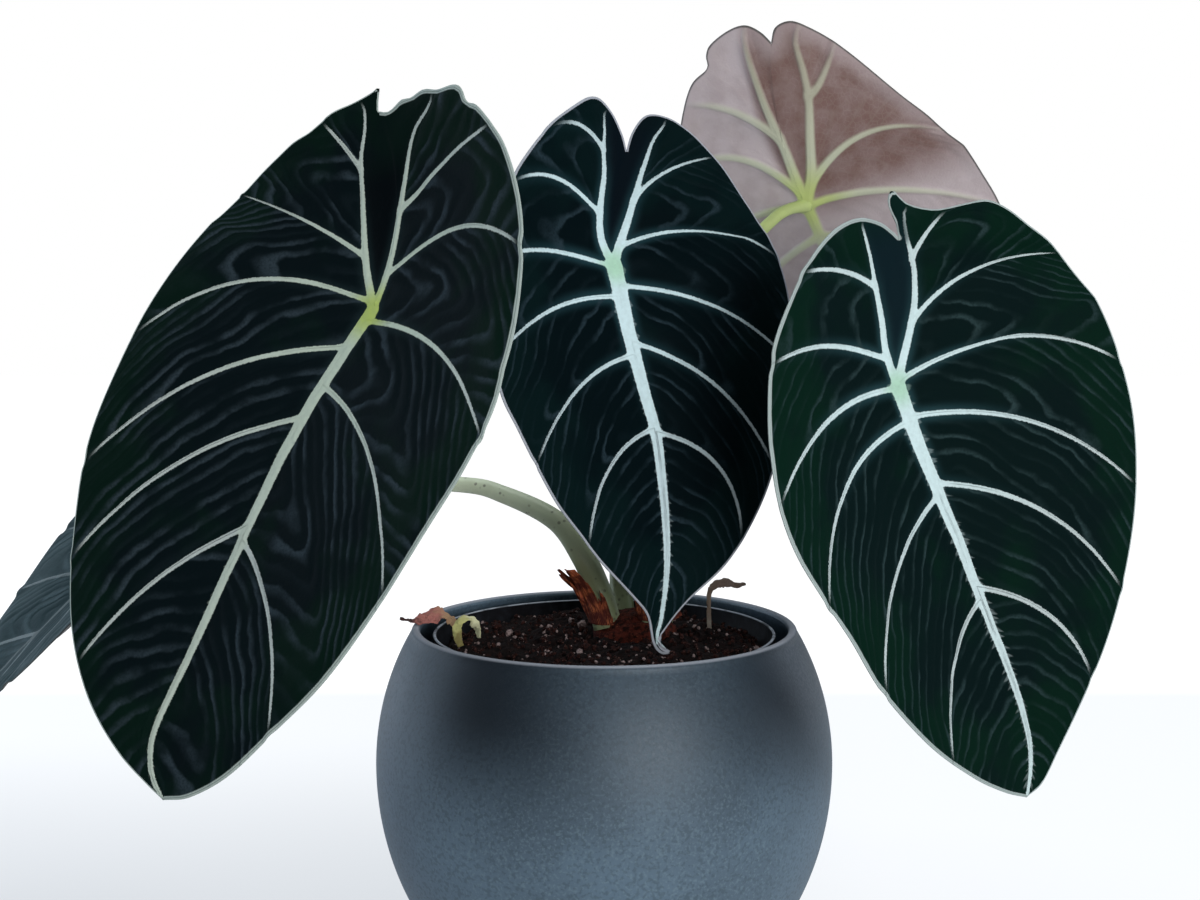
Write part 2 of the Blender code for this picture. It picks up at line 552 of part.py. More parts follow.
def cover_pot(col, mat):
    """Round pot with a flat foot, a constant wall and a rounded lip."""
    lip_z = POT_TOP - POT_LIP
    inside = [(0.0, POT_FLOOR), (float(pot_radius(POT_FLOOR)) - POT_WALL - POT_FOOT, POT_FLOOR)]
    inside += [(float(pot_radius(z)) - POT_WALL, float(z)) for z in np.linspace(POT_FLOOR * 4, lip_z, 7)]
    centre = float(pot_radius(lip_z)) - POT_WALL / 2
    lip = [(centre + POT_WALL / 2 * math.cos(a), lip_z + POT_LIP * math.sin(a))
           for a in (math.pi * 0.75, math.pi * 0.5, math.pi * 0.25)]
    outside = [(float(pot_radius(z)), float(z)) for z in np.linspace(lip_z, 2 * POT_FOOT, 12)]
    foot = [(float(pot_radius(POT_FOOT)) - POT_FOOT / 4, POT_FOOT * 0.75),
            (float(pot_radius(0.0)) - POT_FOOT, 0.0), (0.0, 0.0)]
    return turned("cover_pot", inside + lip + outside + foot, POT_STEPS, col, mat)


def nursery_pot(col, cutters, mat):
    """Thin tapered grow pot with a rim band and drain holes in its floor."""
    base = POT_FLOOR + GAP
    r0, r1, w, rim = INNER_R_BASE, INNER_R_TOP, INNER_WALL, INNER_RIM_R
    floor, band = base + INNER_FLOOR, INNER_TOP - INNER_BAND
    inside = [(0, floor), (r0 - w * 1.5, floor), (r0 - w, floor + w), (r1 - w, band),
              (rim - w * 1.5, INNER_TOP - w / 3)]
    lip = [(rim - w * 0.75, INNER_TOP), (rim, INNER_TOP - w / 2)]
    outside = [(rim - w / 4, band + w), (r1 + w / 12, band + w / 2), (r1, band)]
    foot = [(r0 + w / 2, base + w * 1.7), (r0 - w / 2, base), (0, base)]
    ob = turned("nursery_pot", inside + lip + outside + foot, INNER_STEPS, col, mat)
    for k in range(DRAIN_HOLES):
        a = 2 * math.pi * (k + 0.25) / DRAIN_HOLES
        place = (DRAIN_RING * math.cos(a), DRAIN_RING * math.sin(a))
        cut_by(ob, cylinder(f"drain_{k}", cutters, DRAIN_R, base - 2, floor + 2, place, 12))
    return ob


def cylinder(name, col, radius, low, high, centre, segments=24):
    """A closed upright cylinder."""
    bm = bmesh.new()
    bmesh.ops.create_cone(bm, cap_ends=True, segments=segments, radius1=radius * MM,
                          radius2=radius * MM, depth=(high - low) * MM)
    mesh = bpy.data.meshes.new(name)
    bm.to_mesh(mesh)
    bm.free()
    ob = add(name, mesh, col)
    ob.location = (centre[0] * MM, centre[1] * MM, (low + high) / 2 * MM)
    ob.hide_render = True
    ob.display_type = "WIRE"
    return ob


def cut_by(ob, cutter):
    """Take the cutter's shape out of an object."""
    mod = ob.modifiers.new("cut", "BOOLEAN")
    mod.operation = "DIFFERENCE"
    mod.object = cutter


def soil_relief(x, y):
    """Height of the soil's lumps at x, y in mm: a few crossed waves."""
    return SOIL_RELIEF * (0.5 * math.sin(0.31 * x + 0.11 * y) + 0.35 * math.sin(0.19 * y - 0.27 * x + 1.0)
                          + 0.3 * math.sin(0.43 * y + 0.37 * x + 2.2) + 0.25 * math.sin(0.61 * x - 0.52 * y))


def inner_wall(z):
    """Inside radius of the nursery pot at height z."""
    low = POT_FLOOR + GAP + INNER_FLOOR + INNER_WALL
    share = (z - low) / (INNER_TOP - INNER_BAND - low)
    return INNER_R_BASE - INNER_WALL + share * (INNER_R_TOP - INNER_R_BASE)


def soil(col, cutters, mat):
    """The potting mix: fills the nursery pot, lumpy on top, with plain holes for
    the crown and for the old stalk."""
    low = POT_FLOOR + GAP + INNER_FLOOR + GAP
    base = INNER_R_BASE - INNER_WALL
    edge = float(inner_wall(SOIL_TOP - SOIL_SHOULDER)) - GAP - 0.2
    profile = [(0, low), (base - 1.6, low), (base - 0.5, low + 3.0), (edge, SOIL_TOP - SOIL_SHOULDER)]
    profile += [(r, SOIL_TOP) for r in (edge - 0.6, *SOIL_RINGS)]
    bm = bmesh.new()
    loops = []
    for r, z in profile:
        if r == 0:
            loops.append([bm.verts.new((0, 0, z * MM + (soil_relief(0, 0) * MM if z == SOIL_TOP else 0)))])
            continue
        loop = []
        for k in range(SOIL_STEPS):
            a = 2 * math.pi * (k + 0.5 * (len(loops) % 2)) / SOIL_STEPS
            x, y = r * math.cos(a), r * math.sin(a)
            lift = soil_relief(x, y) if z == SOIL_TOP else 0.0
            loop.append(bm.verts.new((x * MM, y * MM, (z + lift) * MM)))
        loops.append(loop)
    for a, b in zip(loops, loops[1:]):
        for k in range(SOIL_STEPS):
            n = (k + 1) % SOIL_STEPS
            if len(a) == 1:
                bm.faces.new((a[0], b[n], b[k]))
            elif len(b) == 1:
                bm.faces.new((a[k], a[n], b[0]))
            else:
                bm.faces.new((a[k], a[n], b[n], b[k]))
    bmesh.ops.triangulate(bm, faces=bm.faces)
    bmesh.ops.recalc_face_normals(bm, faces=bm.faces)
    mesh = bpy.data.meshes.new("soil")
    bm.to_mesh(mesh)
    bm.free()
    ob = add("soil", mesh, col, mat)
    cut_by(ob, cylinder("crown_hole", cutters, CROWN_R + GAP, CROWN_BASE - GAP, SOIL_TOP + 20, CROWN, 24))
    stalk = SCRAPS["withered_leaf"]["path"][0]
    cut_by(ob, cylinder("stalk_hole", cutters, STALK_HOLE_R, stalk[2] - GAP, SOIL_TOP + 20, stalk[:2], 12))
    return ob


def crown(col, cutters, mat):
    """The short rhizome, sunk in the soil, with a socket round each petiole's foot."""
    x, y = CROWN
    profile = [(CROWN_R * share, CROWN_TOP + drop) for share, drop in CROWN_PROFILE]
    profile += [(CROWN_R, CROWN_BASE + 1.0), (CROWN_R - 1.0, CROWN_BASE), (0, CROWN_BASE)]
    ob = turned("crown", profile, 24, col, mat)
    ob.location = (x * MM, y * MM, 0)
    for key, stalk in PETIOLES.items():
        path, rise = petiole_path(key)
        half = 2.5 * SOCKET_DEPTH
        cut = cylinder(f"socket_{key}", cutters, stalk["radii"][0] + SOCKET_FIT, -half, half, (0, 0), 16)
        cut.location = (path[0] + rise * (half - GAP)) * MM
        cut.rotation_euler = (0, math.acos(rise[2]), math.atan2(rise[1], rise[0]))
        cut_by(ob, cut)
    return ob


def crown_height(x, y):
    """Height of the crown's surface, in mm, at x, y from its axis."""
    share = np.hypot(x, y) / CROWN_R
    return CROWN_TOP + np.interp(share, [p[0] for p in CROWN_PROFILE], [p[1] for p in CROWN_PROFILE])


def sheath_grid(sheath, columns=18, rows=4):
    """Points, in mm, of a sheath's inner face.  Round the stalk the angle runs over
    the arc; up it, the radius grows from just clear of the stalk by the flare times
    the square of the height.  The rim is torn: tongues of three waves, tallest in
    the middle of the arc."""
    path, _ = petiole_path(sheath["stalk"])
    radius = PETIOLES[sheath["stalk"]]["radii"][0]
    first, last = (math.radians(a) for a in sheath["arc"])
    u = np.linspace(0, 1, columns + 1)[:, None]
    v = np.linspace(0, 1, rows + 1)[None, :]
    angle = first + (last - first) * u
    wave = 0.5 * np.sin(17 * u + sheath["phase"]) + 0.3 * np.sin(31 * u + 2 * sheath["phase"])
    top = sheath["height"] * (0.35 + 0.65 * np.sin(np.pi * u) ** 0.8 + 0.28 * wave)
    out = radius + SOCKET_FIT + 0.4 + 0.6 * v + sheath["flare"] * (v * top / sheath["height"]) ** 2
    foot = path[0][:2] - np.array(CROWN)
    x0, y0 = foot[0] + out * np.cos(angle), foot[1] + out * np.sin(angle)
    low = crown_height(x0[:, :1], y0[:, :1]).max() + 1.6 * GAP
    z = low + v * top
    shift = [np.interp(z, path[:, 2], path[:, i]) for i in (0, 1)]
    return np.stack([shift[0] + out * np.cos(angle), shift[1] + out * np.sin(angle), z], -1)


def sheaths(col, mat):
    """Torn papery sheaths round the feet of three petioles."""
    for key, sheath in SHEATHS.items():
        grid = sheath_grid(sheath) * MM
        bm = bmesh.new()
        verts = [[bm.verts.new(tuple(p)) for p in row] for row in grid]
        for a, b in zip(verts, verts[1:]):
            for j in range(len(a) - 1):
                bm.faces.new((a[j], b[j], b[j + 1], a[j + 1]))
        bmesh.ops.triangulate(bm, faces=bm.faces)
        mesh = bpy.data.meshes.new(f"dry_sheath_{key}")
        bm.to_mesh(mesh)
        bm.free()
        ob = add(f"dry_sheath_{key}", mesh, col, mat)
        thick = ob.modifiers.new("thickness", "SOLIDIFY")
        thick.thickness = SHEATH_T * MM
        thick.offset = 1.0
        thick.use_even_offset = False


def scrap(name, col, mat, rings=14, sides=8):
    """A dried strip: a lens section carried along a smooth path, as wide as half
    says, with its flat side turned to face and crimped across by a wave."""
    data = SCRAPS[name]
    rows = np.hstack([np.array(data["path"]), np.array(data["half"])[:, None]])
    rows = evenly(catmull(rows, 200), rings)
    path, half = rows[:, :3], rows[:, 3]
    along = np.gradient(path, axis=0)
    along /= np.linalg.norm(along, axis=1)[:, None]
    across = np.cross(np.array(data["face"]), along)
    across /= np.linalg.norm(across, axis=1)[:, None]
    up = np.cross(along, across)
    a = 2 * np.pi * np.arange(sides) / sides
    wide = half[:, None] * np.cos(a)
    thick = SCRAP_T / 2 * np.sin(a) + 0 * wide
    thick = thick + data["crimp"] * np.sin(1.9 * np.arange(rings))[:, None] * (wide / half.max()) ** 2
    p = path[:, None] + wide[..., None] * across[:, None] + thick[..., None] * up[:, None]
    bm = bmesh.new()
    loops = [[bm.verts.new(tuple(q * MM)) for q in ring] for ring in p]
    for one, two in zip(loops, loops[1:]):
        for k in range(sides):
            n = (k + 1) % sides
            bm.faces.new((one[k], one[n], two[n], two[k]))
    bm.faces.new(loops[0])
    bm.faces.new(loops[-1][::-1])
    bmesh.ops.triangulate(bm, faces=bm.faces)
    bmesh.ops.recalc_face_normals(bm, faces=bm.faces)
    mesh = bpy.data.meshes.new(name)
    bm.to_mesh(mesh)
    bm.free()
    return add(name, mesh, col, mat)


def main():
    """Build every piece."""
    reset()
    col = collection("potted_alocasia")
    cutters = collection("cutters", hidden=True)
    slate = material("slate_stoneware", (0.075, 0.092, 0.115), 0.55)
    black = material("black_plastic", (0.02, 0.022, 0.025), 0.5)
    mix = material("potting_mix", (0.035, 0.022, 0.016), 0.95)
    leaf = material("velvet_leaf", (0.012, 0.03, 0.022), 0.75)
    stalk = material("petiole_green", (0.36, 0.43, 0.24), 0.55)
    root = material("rhizome_brown", (0.17, 0.07, 0.035), 0.85)
    paper = material("dry_sheath", (0.30, 0.09, 0.035), 0.8)
    husk = material("dry_leaf", (0.33, 0.20, 0.14), 0.85)
    straw = material("pale_straw", (0.48, 0.47, 0.22), 0.7)
    cover_pot(col, slate)
    nursery_pot(col, cutters, black)
    soil(col, cutters, mix)
    crown(col, cutters, root)
    petioles(col, stalk)
    blades(col, leaf)
    sheaths(col, paper)
    scrap("dry_leaf_left", col, husk)
    scrap("pale_strip", col, straw)
    scrap("withered_leaf", col, husk)


main()
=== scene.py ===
"""Looks of a dark velvet-leaved alocasia in a nursery pot, in a round slate pot.

Metres, +Z up, the front of the plant towards -Y.  The tables below are in
millimetres where they don't say otherwise, and MM turns those into metres.
"""

import math

import bpy
import numpy as np
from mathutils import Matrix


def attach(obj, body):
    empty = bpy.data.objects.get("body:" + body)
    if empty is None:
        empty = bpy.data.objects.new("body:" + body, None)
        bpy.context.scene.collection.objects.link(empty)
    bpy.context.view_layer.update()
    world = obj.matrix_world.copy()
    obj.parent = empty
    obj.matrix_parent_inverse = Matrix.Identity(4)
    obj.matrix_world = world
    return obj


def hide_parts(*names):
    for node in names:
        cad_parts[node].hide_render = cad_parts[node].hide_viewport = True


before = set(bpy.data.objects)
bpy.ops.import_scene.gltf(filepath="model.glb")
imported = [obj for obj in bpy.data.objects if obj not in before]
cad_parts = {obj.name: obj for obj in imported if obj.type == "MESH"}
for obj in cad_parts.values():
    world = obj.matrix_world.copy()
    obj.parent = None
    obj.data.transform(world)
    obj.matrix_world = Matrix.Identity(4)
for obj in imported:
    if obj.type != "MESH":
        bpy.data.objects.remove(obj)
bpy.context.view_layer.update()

MM = 0.001
LATTICE = 64         # cells of the noise's lattice each way, after which it repeats

# Cover pot
POT_R = 80.0         # largest radius
POT_EQUATOR = 80.0   # height of the widest place
POT_UP = 86.0        # half height of the swell above the equator
POT_DOWN = 92.0      # and below it
POT_TOP = 127.9
POT_WALL = 3.2
POT_FLOOR = 4.0
POT_FOOT = 1.2       # rounding of the foot's edge
FLOOR_BEND = 8.0     # radius from the floor inside up to the wall

# Nursery pot
INNER_RIM_R = 60.0
INNER_TOP = 125.4
INNER_R_TOP = 57.6
INNER_R_BASE = 39.5
INNER_WALL = 1.2
INNER_BASE = 4.3
INNER_FLOOR = 1.6    # thickness of its bottom
INNER_BAND = 7.0     # height of the rim band

# Soil and crown
SOIL_TOP = 121.4
SOIL_RELIEF = 1.3
SOIL_EDGE = 55.4     # radius where the mix meets the pot
SOIL_RIM = 3.0       # width of the edge where it has sunk a little
SOIL_SUNK = 3.0      # how far the mix has sunk at its very edge
GRAINS_SUNK = 2.0    # and the grains on it
SOIL_LOW = 6.2
GRAIN_DENT = 0.25    # how far the corners of a grain are moved in or out, as a share
CROWN = (11.0, 14.0)
CROWN_R = 15.0
CROWN_BASE = 112.0
CROWN_TOP = 129.5
CROWN_WALL = 9.5     # how far below its top the upright wall starts
CROWN_PROFILE = ((0, 0), (0.45, -0.4), (0.8, -2.4), (0.97, -6.0), (1.0, -9.0))  # share of radius, drop
SOCKET_DEPTH = 5.0   # how deep a petiole's foot stands in the crown

BLADE_T = 0.8        # thickness of a blade
EDGE_T = 0.35        # and of its rim


def mirrored(points):
    """Points of a blade's left half, carried over to its right half."""
    return tuple((-u, v) for u, v in points)


# Far left leaf, which has the same shape on both halves
FAR_MARGIN = (
    (0, -.36), (-.03, -.42), (-.09, -.45), (-.17, -.43), (-.25, -.36), (-.32, -.26),
    (-.37, -.13), (-.395, .0), (-.40, .14), (-.385, .28), (-.35, .42), (-.30, .56),
    (-.24, .70), (-.165, .83), (-.08, .94), (0, 1.0))
FAR_COSTA = ((0, 0), (-.05, -.12), (-.08, -.25), (-.09, -.41))
FAR_VEINS = (
    (-.55, (-.13, -.33), (-.23, -.37)), (-.18, (-.17, -.16), (-.36, -.14)),
    (0, (-.20, .04), (-.40, .15)), (.10, (-.19, .21), (-.365, .37)),
    (.27, (-.16, .41), (-.30, .57)), (.52, (-.12, .65), (-.20, .78)))

# Leaves
# Each blade is drawn flat first: u across, v from the hub, where the petiole
# meets the blade, towards the tip, both in units of the length L from hub to tip.
# lean, reach and turn pose the blade: lean of the midrib from straight down in
# the front view, reach of the tip towards the front, turn of the face about the
# midrib.  bend curls the tip back, back lifts the rear lobes forward, swing
# turns the notch aside, twist winds the blade and bow curves the midrib.  wave
# lifts the margin in waves, ridge scales the relief of the side lines, and fold
# gives, for the front panels of each half, the place across a panel where its side
# lines bend and how far they slant towards the tip.
# A margin runs from the notch over the lobe to the tip; costa is the rib of the
# rear lobe; veins are (start, midpoint, end): start is the place along costa
# (-1..0) or midrib (0..1).  stray is how far the midrib wanders aside, by place.
LEAVES = {
    "left": dict(
        hub=(-77.3, -20.0, 236.9), L=171.0, lean=-29, reach=16, turn=-46,
        bend=16, back=-45, swing=-20, sway=2, twist=-16, bow=-0.035,
        cup=(22, 8), curl=(0, -5), wave=0.8, ridge=1.0, fold=((1.0, 0.02), (0.60, 0.38)),
        margin=(
            ((-.09, -.42), (-.085, -.44), (-.076, -.466), (-.095, -.460), (-.14, -.448), (-.195, -.435),
             (-.25, -.40), (-.31, -.365), (-.39, -.27), (-.445, -.13), (-.462, .04), (-.455, .19),
             (-.43, .32), (-.40, .45), (-.355, .57),
             (-.31, .68), (-.26, .775), (-.19, .87), (-.11, .945), (-.04, .99), (0, 1.01)),
            ((-.09, -.42), (-.065, -.416), (-.03, -.434), (-.005, -.434), (.037, -.444), (.08, -.438),
             (.135, -.440), (.158, -.430), (.170, -.406), (.20, -.396), (.245, -.357),
             (.28, -.32), (.34, -.23), (.40, -.12), (.455, -.02), (.49, .07), (.49, .18),
             (.465, .30), (.405, .50), (.32, .69), (.22, .83), (.14, .93), (.06, .99), (0, 1.01))),
        stray=((0, 0), (.25, -.005), (.50, -.004), (.71, -.022), (.82, -.042), (.90, -.052),
               (.96, -.036), (1, 0)),
        costa=(((0, 0), (-.075, -.08), (-.12, -.18), (-.142, -.31), (-.125, -.39), (-.118, -.43)),
               ((0, 0), (-.022, -.10), (-.037, -.205), (-.031, -.305), (-.008, -.37), (.03, -.40),
                (.06, -.425))),
        veins=(((-.68, (-.185, -.362), (-.225, -.425)), (-.27, (-.265, -.149), (-.425, -.187)),
                (-.05, (-.288, .061), (-.434, .256)), (.08, (-.235, .244), (-.383, .482)),
                (.24, (-.199, .414), (-.314, .641)), (.47, (-.142, .627), (-.227, .803))),
               ((-.45, (.079, -.301), (.229, -.35)), (-.17, (.152, -.186), (.37, -.166)),
                (.02, (.27, .019), (.482, .132)), (.17, (.256, .272), (.393, .499)),
                (.50, (.148, .635), (.207, .829))))),
    "middle": dict(
        hub=(3.4, 0.0, 252.6), L=127.0, lean=2, reach=18, turn=27,
        bend=9, back=-24, swing=24, sway=18, twist=12, bow=0.089,
        cup=(16.5, 13), curl=(-5, -2), wave=0.6, ridge=0.8, fold=((0.85, 0.30), (0.85, 0.30)),
        margin=(
            ((.06, -.335), (.04, -.375), (0, -.42), (-.05, -.445), (-.09, -.44), (-.135, -.405),
             (-.195, -.35), (-.255, -.28), (-.32, -.195), (-.385, -.09), (-.44, .03), (-.475, .17),
             (-.475, .30), (-.44, .41), (-.39, .54), (-.33, .66), (-.26, .75), (-.20, .82),
             (-.10, .91), (-.056, .955), (-.043, 1.0), (-.036, 1.03), (-.024, 1.051),
             (-.005, 1.062), (.022, 1.058)),
            ((.06, -.335), (.065, -.39), (.085, -.445), (.12, -.465), (.18, -.465), (.26, -.43),
             (.355, -.345), (.43, -.20), (.465, -.06), (.48, .08), (.465, .21), (.42, .31),
             (.37, .43), (.315, .58), (.25, .70), (.165, .82), (.07, .91), (.022, .965),
             (-.004, 1.0), (-.018, 1.018), (-.021, 1.034), (-.008, 1.047), (.022, 1.058))),
        stray=((0, 0), (.17, -.019), (.30, -.024), (.45, -.015), (.58, -.016), (.71, -.014),
               (.82, -.018), (.92, -.034), (.97, -.048), (1, 0)),
        costa=(((0, 0), (-.020, -.076), (-.014, -.15), (.002, -.25), (-.008, -.32), (-.015, -.37),
                (-.03, -.415)),
               ((0, 0), (.065, -.12), (.10, -.226), (.118, -.314), (.128, -.385), (.145, -.435))),
        veins=(((-.74, (-.107, -.365), (-.215, -.335)), (-.34, (-.156, -.222), (-.326, -.199)),
                (0, (-.205, -.050), (-.408, -.030)), (.08, (-.25, .092), (-.467, .20)),
                (.235, (-.245, .328), (-.39, .534)), (.43, (-.170, .562), (-.235, .778))),
               ((-.42, (.179, -.292), (.302, -.375)), (-.12, (.287, -.068), (.469, .085)),
                (.05, (.232, .159), (.399, .338)), (.20, (.185, .365), (.308, .585)),
                (.44, (.160, .575), (.218, .775))))),
    "right": dict(
        hub=(100.1, -10.0, 211.2), L=149.0, lean=18, reach=4, turn=30,
        bend=8, back=-36, swing=20, sway=6, twist=4, bow=0.035,
        cup=(16, 20), curl=(-5, 2), wave=0.7, ridge=0.8, fold=((1.0, 0.20), (0.95, 0.14)),
        margin=(
            ((.05, -.35), (.03, -.365), (-.01, -.385), (-.08, -.395), (-.16, -.375), (-.24, -.32),
             (-.31, -.245), (-.37, -.175), (-.42, -.09), (-.47, .0), (-.505, .10), (-.51, .20),
             (-.485, .31), (-.44, .44), (-.385, .60), (-.28, .775), (-.165, .90), (-.065, .98),
             (0, 1.02)),
            ((.05, -.35), (.034, -.387), (.018, -.406), (.004, -.426), (-.002, -.446), (.006, -.458),
             (.026, -.446), (.06, -.430), (.127, -.430), (.189, -.460), (.232, -.481), (.285, -.468),
             (.34, -.432), (.42, -.36), (.48, -.24), (.52, -.10), (.535, .03),
             (.53, .15), (.51, .27), (.47, .39), (.42, .50), (.35, .62), (.28, .72),
             (.20, .82), (.11, .93), (.05, 1.0), (0, 1.02))),
        stray=((0, 0), (.13, -.008), (.26, -.007), (.38, 0), (.51, .007), (.63, .021), (.74, .035),
               (.86, .040), (.94, .026), (1, 0)),
        costa=(((0, 0), (0, -.09), (.006, -.164), (-.002, -.233), (-.02, -.301), (-.05, -.359),
                (-.066, -.382)),
               ((0, 0), (.060, -.09), (.094, -.177), (.098, -.252), (.086, -.306), (.066, -.358),
                (.048, -.41))),
        veins=(((-.58, (-.119, -.287), (-.26, -.30)), (-.17, (-.187, -.144), (-.39, -.150)),
                (0, (-.265, -.010), (-.497, .095)), (.08, (-.300, .138), (-.465, .352)),
                (.26, (-.255, .386), (-.38, .613)), (.52, (-.147, .651), (-.205, .833))),
               ((-.70, (.116, -.370), (.148, -.44)), (-.34, (.26, -.269), (.448, -.32)),
                (-.03, (.305, 0), (.529, .154)), (.07, (.265, .193), (.455, .419)),
                (.23, (.221, .393), (.358, .626)), (.49, (.163, .624), (.24, .80))))),
    "back": dict(
        hub=(79.3, 70.0, 279.8), L=150.0, lean=32, reach=-26, turn=154,
        bend=16, back=-20, swing=-24, sway=0, twist=0, bow=0.03,
        cup=(14, 14), curl=(-4, -4), wave=1.0, ridge=0.35, fold=((0.7, 0.4), (0.7, 0.4)),
        margin=(
            ((.05, -.42), (.045, -.455), (.01, -.475), (-.04, -.465), (-.10, -.44), (-.16, -.40),
             (-.22, -.345), (-.28, -.275), (-.34, -.19), (-.38, -.10), (-.415, -.01), (-.44, .09),
             (-.46, .20), (-.455, .31), (-.42, .44), (-.36, .58), (-.28, .72), (-.19, .85),
             (-.09, .95), (0, 1.0)),
            ((.05, -.42), (.08, -.44), (.12, -.45), (.16, -.435), (.205, -.40), (.215, -.375),
             (.212, -.348), (.255, -.31), (.29, -.225), (.32, -.12), (.355, 0), (.38, .12),
             (.38, .25), (.36, .40), (.32, .54), (.26, .68), (.18, .82), (.09, .94), (0, 1.0))),
        stray=((0, 0), (.3, -.005), (.6, .01), (.85, .012), (1, 0)),
        costa=(((0, 0), (-.030, -.07), (-.044, -.148), (-.051, -.27), (-.036, -.353), (-.008, -.43)),
               ((0, 0), (.02, -.16), (.07, -.30), (.115, -.41))),
        veins=(((-.62, (-.080, -.335), (-.105, -.43)), (-.10, (-.20, -.165), (-.378, -.105)),
                (0, (-.225, .050), (-.455, .20)), (.10, (-.22, .22), (-.42, .45)),
                (.28, (-.20, .42), (-.34, .62)), (.52, (-.14, .65), (-.22, .81))),
               ((-.40, (.135, -.255), (.272, -.27)), (-.08, (.14, -.145), (.32, -.12)),
                (.01, (.17, .01), (.375, .10)), (.10, (.19, .20), (.365, .38)),
                (.28, (.17, .41), (.30, .60)), (.52, (.13, .64), (.20, .79))))),
    "far_left": dict(
        hub=(-163.5, 50.0, 164.4), L=140.0, lean=-50, reach=4, turn=-68,
        bend=10, back=-15, swing=0, sway=0, twist=0, bow=0.0,
        cup=(12, 12), curl=(-3, -3), wave=0.9, ridge=1.0, fold=((0.7, 0.4), (0.7, 0.4)),
        margin=(FAR_MARGIN, mirrored(FAR_MARGIN)),
        stray=((0, 0), (.5, .01), (1, 0)),
        costa=(FAR_COSTA, mirrored(FAR_COSTA)),
        veins=(FAR_VEINS, tuple((start, *mirrored(ends)) for start, *ends in FAR_VEINS))),
}

# Full widths in mm of each leaf's ribs at hub and end, and the colours of its faces.
# line is how strongly the side lines show, soft how wide they are as a share of
# their spacing, fringe the reach in mm of the pale strokes beside the midrib, rim
# the width of the pale rim on each half, halo the glow beside the ribs round the
# hub, cleft the ground between the rear ribs, streak the colour of the side lines,
# which are partly paler veining and partly painted sheen on one flank of each ridge.
DRESS = {
    "left": dict(midrib=(5.8, 1.4), costa=(3.2, 0.7), vein=(1.9, 0.7), line=0.95, soft=0.65, fringe=1.2,
                 rim=(0.4, 1.3), rib=(0.46, 0.54, 0.44), hub=(0.40, 0.50, 0.13), hub_reach=15.0,
                 rib_end=(0.42, 0.47, 0.45), rim_colour=(0.34, 0.40, 0.37), halo=(0.008, 0.016, 0.018),
                 cleft=(0.0015, 0.003, 0.004),
                 ground=(0.0024, 0.0058, 0.0072), cast=(0.0025, 0.010, 0.007), streak=(0.028, 0.042, 0.052)),
    "middle": dict(midrib=(6.4, 0.8), costa=(3.4, 0.5), vein=(1.55, 0.6), line=0.85, soft=0.42, fringe=2.4,
                   rim=(0.7, 0.6), rib=(0.58, 0.74, 0.77), hub=(0.40, 0.64, 0.48), hub_reach=10.0,
                   rib_end=(0.38, 0.45, 0.47), rim_colour=(0.32, 0.34, 0.38), halo=(0.012, 0.036, 0.044),
                   cleft=(0.002, 0.005, 0.008), ground=(0.0012, 0.0045, 0.0058),
                   cast=(0.0018, 0.0078, 0.0085), streak=(0.020, 0.036, 0.046)),
    "right": dict(midrib=(6.4, 1.1), costa=(3.4, 0.7), vein=(1.85, 0.7), line=1.0, soft=0.45, fringe=4.2,
                  rim=(1.1, 0.45), rib=(0.58, 0.73, 0.74), hub=(0.40, 0.62, 0.48), hub_reach=10.0,
                  rib_end=(0.46, 0.53, 0.53), rim_colour=(0.34, 0.40, 0.39), halo=(0.014, 0.040, 0.046),
                  cleft=(0.004, 0.012, 0.016),
                  ground=(0.0022, 0.0080, 0.0082), cast=(0.002, 0.013, 0.008), streak=(0.022, 0.042, 0.044)),
    "back": dict(midrib=(4.0, 1.4), costa=(3.8, 1.4), vein=(3.0, 1.0), line=0.8, soft=0.6, fringe=2.0,
                 rim=(0.5, 0.5), rib=(0.42, 0.50, 0.40), hub=(0.40, 0.50, 0.15), hub_reach=12.0,
                 rib_end=(0.38, 0.45, 0.40), rim_colour=(0.26, 0.30, 0.28), halo=(0.010, 0.018, 0.018),
                 cleft=(0.003, 0.006, 0.006),
                 ground=(0.0030, 0.0070, 0.0060), cast=(0.004, 0.012, 0.006), streak=(0.028, 0.040, 0.040)),
    # The far left leaf has a much lighter ground, streaks and rim than the others: painted sheen on a blade
    # seen nearly edge-on.
    "far_left": dict(midrib=(3.2, 1.2), costa=(2.4, 0.8), vein=(1.8, 0.8), line=0.7, soft=0.8, fringe=1.0,
                     rim=(0.4, 0.4), rib=(0.085, 0.105, 0.105), hub=(0.20, 0.26, 0.15), hub_reach=12.0,
                     rib_end=(0.15, 0.18, 0.185), rim_colour=(0.07, 0.085, 0.085), halo=(0.02, 0.03, 0.03),
                     cleft=(0.010, 0.018, 0.020),
                     ground=(0.020, 0.038, 0.042), cast=(0.036, 0.058, 0.062), streak=(0.070, 0.105, 0.115)),
}
SILVER_BACK = dict(ground=(0.28, 0.265, 0.26), patch=(0.19, 0.12, 0.12),
                   rib=(0.40, 0.46, 0.33), hub=(0.42, 0.50, 0.22))
MAUVE_BACK = dict(ground=(0.48, 0.415, 0.43), patch=(0.165, 0.094, 0.082),
                  rib=(0.52, 0.55, 0.41), hub=(0.50, 0.60, 0.20))

